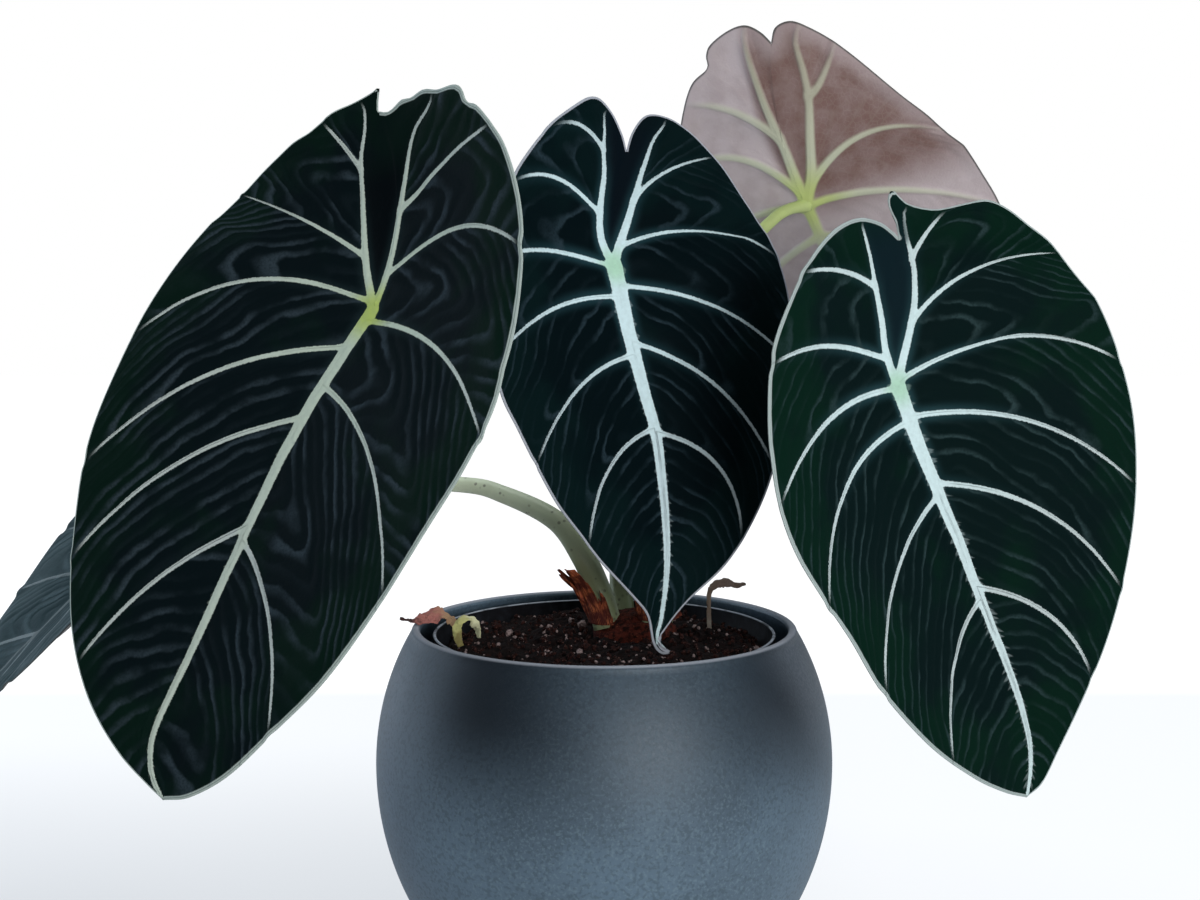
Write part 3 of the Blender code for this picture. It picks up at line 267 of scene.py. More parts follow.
# Petioles: foot on the crown, direction there, points that the stalk passes, and
# the radii at foot and hub.  The last stretch comes in from stand, a distance
# under the blade, moved by slant, and slim says how fast the stalk narrows.
STALK = dict(foot_r=4.2, slim=1.6, stand=12, slant=(0, 0, 0))
PETIOLES = {
    "left": dict(STALK, foot=(-3.5, 9.0), rise=(-.10, .35), hub_r=2.6, stand=16,
                 via=((4.0, 27.0, 165.0), (-12.0, 29.0, 200.0), (-36.0, 19.0, 224.0))),
    "middle": dict(STALK, foot=(6.0, -8.0), rise=(.05, .35), hub_r=2.3,
                   via=((17.0, 12.0, 165.0), (16.0, 23.0, 210.0))),
    "right": dict(STALK, foot=(9.5, 2.0), rise=(.25, .25), hub_r=2.5,
                  via=((33.0, 20.0, 165.0), (46.0, 26.0, 192.0), (66.0, 20.0, 207.0))),
    "back": dict(STALK, foot=(5.0, 10.5), rise=(.12, .45), hub_r=2.2, slant=(-12, 0, 0),
                 via=((21.0, 36.0, 165.0), (28.0, 44.0, 208.0), (44.0, 51.0, 248.0))),
    "far_left": dict(STALK, foot=(-9.5, -3.5), rise=(-.28, .12), foot_r=5.3, hub_r=2.2, slim=2.8,
                     via=((-7.5, 9.5, 150.0), (-17.5, 14.0, 162.5), (-36.0, 24.0, 170.5),
                          (-53.0, 31.0, 173.6), (-95.0, 44.0, 172.0), (-130.0, 52.0, 163.0))),
}
# Colours of a stalk at its foot and above, and of its flecks, and how strong they are
SAGE_SKIN = dict(low=(0.22, 0.26, 0.14), high=(0.70, 0.79, 0.58), fleck=(0.05, 0.04, 0.035), flecks=0.6)
LIME_SKIN = dict(low=(0.22, 0.28, 0.10), high=(0.50, 0.60, 0.22), fleck=(0.25, 0.25, 0.08), flecks=0.25)
STALK_STEPS = 150    # points along a stalk
STALK_START = 2.8    # straight start of a stalk, in depths of its socket
STALK_FLARE = 0.9    # how much wider it gets under its blade, mm
STALK_FLARE_RUN = 3.5     # and over what length, mm

# A sheath stands round part of a petiole's foot: first and last angle about the
# stalk, height of its tallest tongue, how far it flares, and its tongues, each
# with its place round the sheath, width and height as shares.
SHEATHS = {
    "left": dict(stalk="far_left", arc=(118, 292), height=21.0, flare=6.0,
                 tongues=((.14, .09, .45), (.34, .13, .80), (.55, .07, .50),
                          (.70, .12, .97), (.90, .08, .50))),
    "front": dict(stalk="middle", arc=(165, 345), height=12.0, flare=3.4,
                  tongues=((.15, .10, .8), (.42, .12, .95), (.66, .09, .6), (.86, .09, .8))),
    "right": dict(stalk="right", arc=(-70, 70), height=9.0, flare=2.4,
                  tongues=((.25, .12, .9), (.60, .09, .6), (.85, .07, .8))),
}
SHEATH_T = 0.4       # thickness of the paper, mm
SHEATH_GAP = 0.8     # between stalk and sheath at its foot
SHEATH_SUNK = 1.0    # how far a sheath's foot goes under the crown's surface
ROUND_SHEATH = 60    # scale of the noise round a sheath
SHEATH_TEARS = ((0.14, 2.3, 51), (0.08, 0.8, 52))       # how deep, as a share; size; seed
SHEATH_CRINKLES = ((1.1, 9, 3.0, 53), (0.5, 18, 1.6, 54))       # how deep, mm; scale up it; size; seed

# Scraps: points along the middle, half width at each point, the way the flat side
# faces, how deep they are crimped and crumpled, and the three tones along them.
SCRAPS = {
    "dry_leaf_left": dict(
        path=((-71.5, -3.0, 130.2), (-68.0, -2.6, 129.3), (-64.0, -1.0, 129.2), (-60.0, 1.0, 130.6),
              (-56.0, 2.5, 130.2), (-52.5, 3.5, 126.2), (-50.8, 4.0, 122.9)),
        half=(0.7, 1.2, 3.2, 4.6, 3.6, 3.0, 1.2), face=(0.2, -0.25, 1.0), crimp=0.9, crumple=0.35,
        slot="dry_leaf", husk="pink_husk",
        tones=((0.04, 0.018, 0.016), (0.34, 0.13, 0.11), (0.36, 0.23, 0.13))),
    "pale_strip": dict(
        path=((-49.0, -16.0, 123.1), (-50.5, -13.0, 126.8), (-50.0, -9.5, 130.4),
              (-47.0, -6.5, 130.8), (-44.5, -4.5, 127.6), (-44.0, -3.5, 123.5)),
        half=(1.0, 1.6, 1.8, 1.7, 1.5, 0.9), face=(-0.4, -0.6, 0.7), crimp=0.3, crumple=0.2,
        slot="straw", husk="straw_husk",
        tones=((0.20, 0.17, 0.06), (0.42, 0.41, 0.16), (0.55, 0.55, 0.35))),
    "withered_leaf": dict(
        path=((38.4, 20.0, 116.5), (38.5, 20.0, 122.0), (38.3, 20.2, 130.0), (38.6, 20.6, 135.0),
              (41.0, 21.5, 138.0), (44.5, 22.5, 138.4), (48.0, 23.0, 137.4), (52.0, 23.5, 137.8)),
        half=(0.75, 0.8, 0.8, 0.9, 2.0, 2.6, 1.8, 0.6), face=(0.0, -0.5, 1.0), crimp=0.5, crumple=0.2,
        slot="dry_leaf", husk="grey_husk",
        tones=((0.22, 0.20, 0.17), (0.16, 0.12, 0.09), (0.17, 0.12, 0.095))),
}
SCRAP_T = 0.28       # half thickness in the middle of a scrap, mm
SCRAP_WAVES = 1.9 * 13 / 89     # crimp of a scrap, in radians from one ring to the next

# Crumbly stuff: three tones, the size of its grain and how deep the grain goes
CRUMBS = {
    # rhizome_bark is kept near black: partly the crown's dark red-brown, partly painted shade among the
    # stalks' feet.
    "rhizome_bark": dict(dark=(0.010, 0.003, 0.002), mid=(0.062, 0.012, 0.007),
                         pale=(0.17, 0.045, 0.020), size=1.6, depth=0.443 * MM),
    "potting_mix": dict(dark=(0.0015, 0.001, 0.001), mid=(0.008, 0.0035, 0.003),
                        pale=(0.035, 0.019, 0.016), size=1.4, depth=0.414 * MM),
    "bark_bits": dict(dark=(0.005, 0.002, 0.002), mid=(0.026, 0.009, 0.007),
                      pale=(0.15, 0.080, 0.066), size=1.2, depth=0.383 * MM),
    "pale_grit": dict(dark=(0.14, 0.10, 0.095), mid=(0.30, 0.23, 0.22),
                      pale=(0.42, 0.34, 0.32), size=0.8, depth=0.313 * MM),
}

# How a flat blade is bent, in lengths L
MIDRIB_SPAN = (-0.62, 1.12)     # stretch of the midrib that is worked out
LOBE_BEND = 0.45     # distance behind the hub at which back is reached
LOBE_SWING = 0.4     # and swing
HALF_SPAN = 0.7      # stretch of a half blade that is worked out
CUP_REACH = 0.05     # distance from the midrib over which the blade turns to its cup
CURL_REACH = 0.5     # distance at which curl is reached

# Blade surface, lengths in mm
PANEL_RAYS = 40      # rays to each panel between two veins
BESIDE_VEIN = (0.015, 0.035, 0.07)                # more rays, in panels from the vein
FROM_RIB = (0.0, 0.5, 1.0, 1.6, 2.4, 3.5)         # rows beside the base line
FROM_MARGIN = (2.2, 1.4, 0.8, 0.35, 0.0)          # rows beside the margin
EVEN_ROWS = 52       # rows between them
NEAR_SHARE = 0.3     # most of a ray that the close rows at one end take up
INNER_RAYS = 40      # rays between a costa and the notch
INNER_ROWS = 26
NOTCH_SPLIT = 0.62   # share of the inner rays that end on the line from hub to notch
QUILT = 1.0          # how far a panel stands proud between its veins
QUILT_SPAN = (10.0, 9.0)        # it rises over this from the base line and the margin
INNER_QUILT = 0.35   # the swell beside the notch
INNER_SPAN = 6.0
RIDGE_STEP = 6.0     # distance between the side lines in a panel
RIDGE = 0.5          # how deep the side lines lie
RIDGE_FADE = 1.5     # how near to a vein the side lines start
RIDGE_SPAN = 5.0     # they deepen over this from the base line and the margin
REAR_FOLD = (0.5, 0.45)         # place across a rear panel where its side lines bend, and their slant
REAR_TO_FRONT = (-0.35, 0.1)    # stretch of the base line where rear panels turn to front ones
FOLD_ROUND = 12.0    # how round the side lines bend, mm squared
BEND = 360.0         # radius of the side lines' bow towards the tip
CALM = 0.75          # phase of the side lines where there are none
LANES = (200.0, 600.0)          # lane of each half at the hub; the place along the base line is added
WAVE_RATE = 2.1      # waves of the margin, in radians to a panel
MARGIN_STEPS = 400
COSTA_STEPS = 80
STRAY_STEPS = 80
RIB_STEPS = 24       # segments of a rib's line when distances to it are taken
WEB = 0.45           # fillet where ribs meet

# Relief of a blade, mm
RIM_ROLL = (1.4, 0.22)          # width of the rolled rim and how far it goes down
BESIDE_RIB = 2.5     # cushions rise over this beside a rib
RIB_LEVEL = 5.0      # ribs rise over this from the margin
RIB_ABOVE = (0.3, 0.7)          # height of the ribs on the upper face, and their rounding
RIB_BELOW = (1.9, 1.2)          # the same for the underside
RIB_SKIRT = 0.5      # how far the underside's ribs reach beside the upper ones
HUB_BELOW = (1.6, 5.5)          # extra depth under the hub, and its radius
DIMPLES = (0.22, 7.0, 6.0)      # height and size of slow dimples, and their span at the margin

# Studio, in metres: half the floor's side, and the lamps with name, place, size, watts
# and tint, all aimed at one point
FLOOR_HALF = 6.0
LAMPS_AIM = (0.0, 0.0, 0.15)
LAMPS = (
    ("key", (0.42, -0.95, 0.34), 0.6, 8.6, (1.0, 1.0, 1.0)),
    ("left_panel", (-1.1, 0.42, 0.40), 1.2, 11.5, (0.80, 0.93, 1.10)),
    ("right_panel", (1.15, 0.50, 0.40), 1.2, 5.5, (0.80, 0.93, 1.10)),
    ("top", (0.0, 0.2, 1.4), 0.9, 7.0, (0.95, 0.98, 1.0)))

# Camera: the eye's place in metres, its tilt below level, and the lens
EYE = (-0.00146, -0.5210, 0.2334)
EYE_DOWN = 4.86
LENS = 45.0
SENSOR = 36.0


# Curves and surfaces

def unit(vectors):
    """Vectors along the last axis, made one long."""
    return vectors / np.linalg.norm(vectors, axis=-1, keepdims=True)


def ramp(values, width):
    """A straight step from 0 to 1 as the values go from 0 to width."""
    return np.clip(values / width, 0, 1)


def smooth(share):
    """A share from 0 to 1 with a soft start and end: 3 share**2 - 2 share**3."""
    return share * share * (3 - 2 * share)


def looked_up(places, at, rows):
    """Rows of a table at places between the values at, column by column."""
    return np.stack([np.interp(places, at, column) for column in rows.T], -1)


def travelled(rows, step):
    """How far a point gets that moves by these rows for each unit of step: their
    running sum, each step taken at the mean of its two rows."""
    return np.concatenate([0 * rows[:1], np.cumsum((rows[1:] + rows[:-1]) / 2 * step, axis=0)])


def catmull(points, count):
    """A smooth curve through points, sampled evenly in its parameter."""
    p = np.asarray(points, float)
    q = np.vstack([2 * p[0] - p[1], p, 2 * p[-1] - p[-2]])
    t = np.linspace(0, len(p) - 1, count)
    k = np.minimum(t.astype(int), len(p) - 2)
    f = (t - k)[:, None]
    a, b, c, d = q[k], q[k + 1], q[k + 2], q[k + 3]
    return 0.5 * (2 * b + (c - a) * f + (2 * a - 5 * b + 4 * c - d) * f ** 2
                  + (3 * b - a - 3 * c + d) * f ** 3)


def evenly(points, count):
    """Points at equal steps of length along a polyline."""
    step = np.linalg.norm(np.diff(points, axis=0), axis=1)
    run = np.r_[0.0, np.cumsum(step)]
    return looked_up(np.linspace(0, run[-1], count), run, points)


def along_line(line, place):
    """Points at places 0..1 on a line of evenly spaced points."""
    return looked_up(place, np.linspace(0, 1, len(line)), line)


def value_noise(x, y, size, seed):
    """Smooth noise from -1 to 1: random values on a lattice of the given size in mm,
    joined by a smooth step."""
    lattice = np.random.default_rng(seed).uniform(-1, 1, (LATTICE, LATTICE))
    x, y = np.asarray(x) / size, np.asarray(y) / size
    i, j = np.floor(x).astype(int), np.floor(y).astype(int)
    fx, fy = smooth(x - i), smooth(y - j)
    a, b, c, d = (lattice[(i + di) % LATTICE, (j + dj) % LATTICE] for dj in (0, 1) for di in (0, 1))
    return (a * (1 - fx) + b * fx) * (1 - fy) + (c * (1 - fx) + d * fx) * fy


def grid_faces(rows, columns, wrap=False):
    """Triangles of a grid of rows by columns, with the last column joined to the
    first if it wraps."""
    i, j = np.mgrid[0:rows - 1, 0:columns if wrap else columns - 1]
    n = (j + 1) % columns
    quads = np.stack([i * columns + j, i * columns + n, (i + 1) * columns + n, (i + 1) * columns + j], -1)
    return halved(quads.reshape(-1, 4))


def halved(quads):
    """Two triangles for each quad."""
    return np.concatenate([quads[:, [0, 1, 2]], quads[:, [0, 2, 3]]])


def welded(points, faces, by=None):
    """Points that share a place made one, faces that collapse dropped, unused points
    left out.  Returns the kept points' numbers and the faces."""
    keys = np.round(points if by is None else by, 3)
    _, first, index = np.unique(keys, axis=0, return_index=True, return_inverse=True)
    faces = index.reshape(-1)[faces]
    whole = (faces[:, 0] != faces[:, 1]) & (faces[:, 1] != faces[:, 2]) & (faces[:, 0] != faces[:, 2])
    faces = faces[whole]
    used, faces = np.unique(faces, return_inverse=True)
    return first[used], faces.reshape(-1, 3)


def rim_edges(faces):
    """Directed edges that only one face has."""
    ends = np.concatenate([faces[:, [0, 1]], faces[:, [1, 2]], faces[:, [2, 0]]])
    key = np.sort(ends, 1) @ np.array([faces.max() + 1, 1])
    _, index, count = np.unique(key, return_inverse=True, return_counts=True)
    return ends[count[index.reshape(-1)] == 1]


def shell(top, bottom, faces):
    """A closed body from an upper and a lower sheet with the same faces: points,
    faces, and 0, 1 or 2 for upper, lower and rim faces."""
    n = len(top)
    edges = rim_edges(faces)
    rim = halved(np.stack([edges[:, 1], edges[:, 0], edges[:, 0] + n, edges[:, 1] + n], -1))
    kind = np.repeat([0, 1, 2], [len(faces), len(faces), len(rim)])
    return np.vstack([top, bottom]), np.vstack([faces, faces[:, ::-1] + n, rim]), kind


def circles(radii, sides):
    """x and y of rings of the given radii, as grids, and the angles of their sides."""
    a = 2 * np.pi * np.arange(sides) / sides
    return radii[:, None] * np.cos(a), radii[:, None] * np.sin(a), a


def ringed(rings, inside_out=False):
    """Points and triangles of a stack of closed rings; a ring of no size becomes one
    point."""
    points = rings.reshape(-1, 3)
    faces = grid_faces(*rings.shape[:2], wrap=True)
    first, faces = welded(points, faces[:, ::-1] if inside_out else faces)
    return points[first], faces


def on_both(**fields):
    """Values on the points of a sheet, for both sheets of a shell."""
    return {name: np.tile(np.ravel(values), 2) for name, values in fields.items()}


def new_piece(name, points, faces, mats, slot, nodes=(), look=None, fields=None):
    """A smooth mesh object from points in mm and triangles, riding on the plant."""
    mesh = bpy.data.meshes.new(name)
    mesh.from_pydata(points * MM, [], faces)
    for mat in mats:
        mesh.materials.append(mat)
    if look is not None:
        mesh.polygons.foreach_set("material_index", look.astype(np.int32))
    for key, values in (fields or {}).items():
        layer = mesh.attributes.new(key, "FLOAT", "POINT")
        layer.data.foreach_set("value", np.asarray(values, np.float32))
    mesh.shade_smooth()
    mesh.update()
    ob = bpy.data.objects.new(name, mesh)
    bpy.context.scene.collection.objects.link(ob)
    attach(ob, "root")
    if nodes:
        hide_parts(*nodes)
    return ob


# Blades

def blade_axes(leaf):
    """Unit vectors at the hub: to the tip, across the blade and out of its face."""
    lean, reach, turn = (math.radians(leaf[k]) for k in ("lean", "reach", "turn"))
    tip = np.array([math.sin(lean) * math.cos(reach), -math.sin(reach),
                    -math.cos(lean) * math.cos(reach)])
    face = np.array([0.0, -1.0, 0.0])
    face = unit(face - (face @ tip) * tip)
    across = np.cross(face, tip)
    return (tip, math.cos(turn) * across - math.sin(turn) * face,
            math.cos(turn) * face + math.sin(turn) * across)


def blade_point(leaf, u, v):
    """World points, in mm, of flat blade points u, v, in mm: v runs along a midrib
    that bends and winds, u runs out from it along a slope that cups the blade."""
    length = leaf["L"]
    tip, across, face = blade_axes(leaf)
    low, high = MIDRIB_SPAN
    g = np.linspace(low * length, high * length, 261)
    ahead = np.clip(g / length, 0, None)
    behind = np.clip(-g / length, 0, None)
    pitch = np.radians(leaf["bend"] * ahead - leaf["back"] * behind / LOBE_BEND)
    yaw = np.radians(leaf["sway"] * ahead - leaf["swing"] * behind / LOBE_SWING)
    yaw += leaf["bow"] * np.pi * np.cos(np.pi * np.clip(ahead, 0, 1))
    wind = np.radians(leaf["twist"]) * g / length
    pitch, yaw, wind = pitch[:, None], yaw[:, None], wind[:, None]
    t = np.cos(pitch) * (np.cos(yaw) * tip + np.sin(yaw) * across) - np.sin(pitch) * face
    b = np.cos(yaw) * across - np.sin(yaw) * tip
    b = unit(b - (b * t).sum(1)[:, None] * t)
    n = np.cross(t, b)
    b, n = np.cos(wind) * b + np.sin(wind) * n, np.cos(wind) * n - np.sin(wind) * b
    mid = travelled(t, g[1] - g[0])
    mid += np.array(leaf["hub"]) - looked_up([0.0], g, mid)
    mid, b, n = (looked_up(v, g, rows) for rows in (mid, b, n))
    a = np.linspace(0, HALF_SPAN * length, 281)
    sides = []
    for cup, curl in zip(leaf["cup"], leaf["curl"]):
        slope = cup * (1 - np.exp(-a / (CUP_REACH * length))) + curl * a / (CURL_REACH * length)
        slope = np.radians(slope)
        sides.append(travelled(np.stack([np.cos(slope), np.sin(slope)], -1), a[1]))
    left, right = (looked_up(np.abs(u), a, side) for side in sides)
    out = np.where((u < 0)[:, None], left * (-1, 1), right)
    return mid + out[:, :1] * b + out[:, 1:] * n


def blade_normal(leaf, u, v):
    """Unit normals of the smooth blade at flat points, out of its face."""
    e = 0.6    # step over which the slope is taken, mm
    du = blade_point(leaf, u + e, v) - blade_point(leaf, u - e, v)
    dv = blade_point(leaf, u, v + e) - blade_point(leaf, u, v - e)
    return unit(np.cross(dv, du))


def margin_line(leaf, side):
    """Even flat points on the margin of one half, from notch to tip."""
    return evenly(catmull(leaf["margin"][side], MARGIN_STEPS), MARGIN_STEPS + 1) * leaf["L"]


def costa_line(leaf, side):
    """Even flat points on the rib of a rear lobe, from the hub out to the margin
    point nearest to where the rib heads."""
    margin = margin_line(leaf, side)
    rib = np.array(leaf["costa"][side], float) * leaf["L"]
    end = margin[np.argmin(((margin - (rib[-1] * 1.1 - rib[-2] * 0.1)) ** 2).sum(1))]
    return evenly(catmull(np.vstack([rib, end]), COSTA_STEPS), COSTA_STEPS + 1)


def base_line(leaf, side, s):
    """Flat points on the base line: the costa for s below 0, the midrib, which
    strays a little to the sides, above."""
    ahead = np.clip(s, 0, 1)[:, None] * margin_line(leaf, side)[-1]
    stray = catmull(leaf["stray"], STRAY_STEPS)
    ahead[:, 0] += np.interp(s, stray[:, 0], stray[:, 1]) * leaf["L"]
    back = along_line(costa_line(leaf, side), np.clip(-s, 0, 1))
    return np.where((s < 0)[:, None], back, ahead)


def vein_keys(leaf, side):
    """The rays that a half blade is laid out on, from the lobe's end to the tip:
    start on the base line, midpoint, and number of the margin point they end on."""
    margin = margin_line(leaf, side)

    def near(point):
        """Index on the margin nearest a point."""
        return float(np.argmin(((margin - np.array(point)) ** 2).sum(1)))

    length = leaf["L"]
    apex = near(costa_line(leaf, side)[-1])
    keys = [(-1.0, margin[int(apex)], apex)]
    keys += [(s, np.array(m) * length, near(np.array(e) * length)) for s, m, e in leaf["veins"][side]]
    return keys + [(1.0, margin[-1], float(MARGIN_STEPS))]


def rays(leaf, side, k):
    """Start, control point and end, flat, of the rays at places k between the keys.
    A ray bows out from its chord as far as the keys beside it do."""
    keys = vein_keys(leaf, side)
    at = np.arange(len(keys))
    margin = margin_line(leaf, side)
    places, number = np.array([key[0] for key in keys]), np.array([key[2] for key in keys])
    chord = (base_line(leaf, side, places) + along_line(margin, number / MARGIN_STEPS)) / 2
    bow = np.array([key[1] for key in keys]) - chord
    s = np.round(np.interp(k, at, places), 4)
    end = along_line(margin, np.interp(k, at, number) / MARGIN_STEPS)
    start = base_line(leaf, side, s)
    return s, start, (start + end) / 2 + 2 * looked_up(k, at, bow), end


def bezier(start, control, end, t):
    """Points at t on quadratic curves."""
    return (1 - t) ** 2 * start + 2 * t * (1 - t) * control + t ** 2 * end


def ray_places(first_leg, last_leg):
    """Places 0..1 along rays: close rows beside the rib and the margin, given in
    mm, and even rows between, squeezed where a ray is short."""
    near = np.array(FROM_RIB) / np.maximum(2 * first_leg, 1e-6)[:, None]
    far = np.array(FROM_MARGIN) / np.maximum(2 * last_leg, 1e-6)[:, None]
    near *= np.minimum(1, NEAR_SHARE / np.maximum(near[:, -1:], 1e-6))
    far *= np.minimum(1, NEAR_SHARE / np.maximum(far[:, :1], 1e-6))
    even = np.linspace(0, 1, EVEN_ROWS + 2)[None, 1:-1]
    middle = near[:, -1:] + (1 - far[:, :1] - near[:, -1:]) * even
    return np.concatenate([near, middle, 1 - far], 1)


def ray_numbers(panels):
    """Places of a half blade's rays, in panels: even ones, and close ones beside
    each vein."""
    even = np.linspace(0, panels, panels * PANEL_RAYS + 1)
    even = even[np.abs(even - np.round(even)) > 1.15 * BESIDE_VEIN[-1]]
    beside = np.array([0, *BESIDE_VEIN, *(-b for b in BESIDE_VEIN)])
    close = (np.arange(panels + 1)[:, None] + beside).ravel()
    return np.unique(np.round(np.clip(np.r_[even, close], 0, panels), 4))


def outer_grid(leaf, side):
    """Rays from the base line to the margin as (places s, grid), with u, v, puff,
    phase, run and lane at each point.  The puff is a sine between two veins, with
    smaller rounded ridges in it.  Their phase is the distance to the fold of the
    panel, where they bend, plus slant * run + run**2 / (2 * BEND), run the way out."""
    panels = len(leaf["veins"][side]) + 1
    k = ray_numbers(panels)
    s, start, control, end = rays(leaf, side, k)
    k, s, start, control, end = (a[np.r_[True, np.diff(s) > 0]] for a in (k, s, start, control, end))
    t = ray_places(np.linalg.norm(control - start, axis=1), np.linalg.norm(end - control, axis=1))[..., None]
    flat = bezier(start[:, None], control[:, None], end[:, None], t)
    flat[:, -1] = end
    u, v = flat[..., 0], flat[..., 1]
    run = np.linalg.norm(flat - start[:, None], axis=-1)
    left = np.linalg.norm(flat - end[:, None], axis=-1)

    lower = np.minimum(k.astype(int), panels - 1)
    keys = rays(leaf, side, np.arange(panels + 1.0))[1:]
    near, far = (bezier(*(key[i][:, None] for key in keys), t) for i in (lower, lower + 1))
    width = np.linalg.norm(far - near, axis=-1)
    fold, slant = (np.interp(s, REAR_TO_FRONT, ends)[:, None] for ends in zip(REAR_FOLD, leaf["fold"][side]))
    aside = ((k - lower)[:, None] - fold) * width
    phase = np.sqrt(aside ** 2 + FOLD_ROUND) + slant * run + run ** 2 / (2 * BEND)
    phase = phase / RIDGE_STEP + 0.40 * value_noise(u, v, size=15.0, seed=3 + side)
    phase += 0.12 * value_noise(u, v, size=5.0, seed=5 + side)

    k, t = k[:, None], t[..., 0]
    fade = smooth(ramp(run, QUILT_SPAN[0])) * ramp(left, QUILT_SPAN[1])
    puff = QUILT * np.sin(np.pi * (k % 1.0)) ** 1.5 * fade
    puff += (leaf["wave"] * np.sin(WAVE_RATE * k + side) * t ** 4
             * np.clip(panels - k, 0, 1) * np.clip(k, 0, 1))
    beside = ramp(np.abs(k - np.round(k)) * width, RIDGE_FADE)
    depth = RIDGE * leaf["ridge"] * beside * ramp(run - RIDGE_FADE, RIDGE_SPAN) * ramp(left, RIDGE_SPAN)
    depth *= 0.75 + 0.4 * value_noise(u, v, size=17.0, seed=8 + side)
    puff += depth * (np.abs(np.sin(np.pi * phase)) ** 0.7 - 0.6)
    lane = LANES[side] + s[:, None] * leaf["L"] + 0 * t
    return s, np.stack([u, v, puff, phase, run, lane], -1)


def inner_grid(leaf, side):
    """Rays from the costa to the line from hub to notch, then to the rim beyond it,
    as (places s, grid) like the outer grid's, with one low swell."""
    margin = margin_line(leaf, side)
    apex = vein_keys(leaf, side)[0][2]
    q = np.linspace(1, 0, INNER_RAYS + 1)
    line = np.clip(q / NOTCH_SPLIT, 0, 1)[:, None] * margin[0]
    rim = along_line(margin, np.clip((q - NOTCH_SPLIT) / (1 - NOTCH_SPLIT), 0, 1) * apex / MARGIN_STEPS)
    goal = np.where((q <= NOTCH_SPLIT)[:, None], line, rim)
    start = base_line(leaf, side, -q)
    t = np.linspace(0, 1, INNER_ROWS + 1)[:, None]
    flat = start[:, None] * (1 - t) + goal[:, None] * t
    flat[:, -1] = goal
    run = np.linalg.norm(flat - start[:, None], axis=-1)
    puff = INNER_QUILT * np.sin(np.pi * t[:, 0]) ** 2 * ramp(run, INNER_SPAN)
    return np.round(-q, 4), np.stack([flat[..., 0], flat[..., 1], puff, CALM + 0 * run, run, 0 * run], -1)


def stitched(a, row_a, b, row_b):
    """Triangles between two rows of vertices at rising places a and b: each step on
    one row meets the other row's nearest vertex."""
    mid_a, mid_b = (a[1:] + a[:-1]) / 2, (b[1:] + b[:-1]) / 2
    on_b = np.searchsorted(mid_b, mid_a)
    on_a = np.searchsorted(mid_a, mid_b, side="right")
    return np.concatenate([np.stack([row_a[:-1], row_a[1:], row_b[on_b]], -1),
                           np.stack([row_a[on_a], row_b[1:], row_b[:-1]], -1)])


def blade_sheet(leaf):
    """Points (u, v, puff, phase, run, lane) and triangles of a whole flat blade, wound to
    face out of the leaf: both halves' grids, each stitched to the common base line."""
    halves = [(outer_grid(leaf, side), inner_grid(leaf, side)) for side in (0, 1)]
    midrib = np.concatenate([outer[0][outer[0] > 0] for outer, _ in halves])
    points, faces, count = [], [], 0
    for side, (outer, inner) in enumerate(halves):
        places = np.unique(np.concatenate([outer[0], inner[0], midrib]))
        flat = base_line(leaf, side, places)
        lane = LANES[side] + places * leaf["L"]
        points.append(np.stack([flat[:, 0], flat[:, 1], 0 * lane, CALM + 0 * lane, 0 * lane, lane], -1))
        row = count + np.arange(len(flat))
        count += len(flat)
        for (s, grid), last, flip in ((outer, 1, side == 0), (inner, 0, side == 1)):
            body = grid[:, 1:]
            number = count + np.arange(body.shape[0] * body.shape[1]).reshape(body.shape[:2])
            count += number.size
            points.append(body.reshape(-1, 6))
            keep = places <= last
            quads = np.stack([number[:-1, :-1], number[1:, :-1], number[1:, 1:], number[:-1, 1:]], -1)
            made = np.concatenate([stitched(places[keep], row[keep], s, number[:, 0]),
                                   halved(quads.reshape(-1, 4))])
            faces.append(made[:, ::-1] if flip else made)
    points, faces = np.vstack(points), np.vstack(faces)
    first, faces = welded(points, faces, by=points[:, :2])
    return points[first], faces


def nearest(points, line):
    """Distance from flat points to a polyline, and the place 0..1 of the nearest
    spot along it."""
    a, ab = line[:-1], np.diff(line, axis=0)
    t = np.clip(((points[:, None] - a) * ab).sum(-1) / (ab ** 2).sum(-1), 0, 1)
    gap = np.linalg.norm(points[:, None] - a - t[..., None] * ab, axis=-1)
    best = gap.argmin(1)
    row = np.arange(len(points))
    return gap[row, best], (best + t[row, best]) / len(ab)


def rib_lines(leaf, dress):
    """Every rib, the midrib first, as (flat line, half widths at start and end,
    power of its taper)."""
    lines = [(base_line(leaf, 0, np.linspace(0, 1, 41)), dress["midrib"], 1.0)]
    for side in (0, 1):
        lines.append((costa_line(leaf, side)[::4], dress["costa"], 1.0))
        _, start, control, end = rays(leaf, side, np.arange(1.0, len(leaf["veins"][side]) + 1))
        t = np.linspace(0, 1, RIB_STEPS + 1)[:, None]
        lines += [(bezier(a, c, b, t), dress["vein"], 0.8) for a, c, b in zip(start, control, end)]
    return [(line, np.array(width) / 2, power) for line, width, power in lines]


def rib_field(leaf, dress, flat):
    """Distance in mm from flat points to the edge of the nearest rib, below 0 on a
    rib, with fillets of radius WEB where ribs meet, and the distance to the edge of
    the midrib alone."""
    gaps = []
    for line, (wide, thin), power in rib_lines(leaf, dress):
        gap, place = nearest(flat, line)
        gaps.append(gap - thin - (wide - thin) * (1 - place) ** power)
    total = np.exp(-np.array(gaps) / WEB).sum(0)
    return -WEB * np.log(np.maximum(total, 1e-30)), gaps[0]


def margin_field(leaf, flat):
    """Distance in mm from flat points to the margin, and the half they lie on."""
    gaps = np.stack([nearest(flat, margin_line(leaf, side)[::4])[0] for side in (0, 1)], -1)
    return gaps.min(1), gaps.argmin(1)


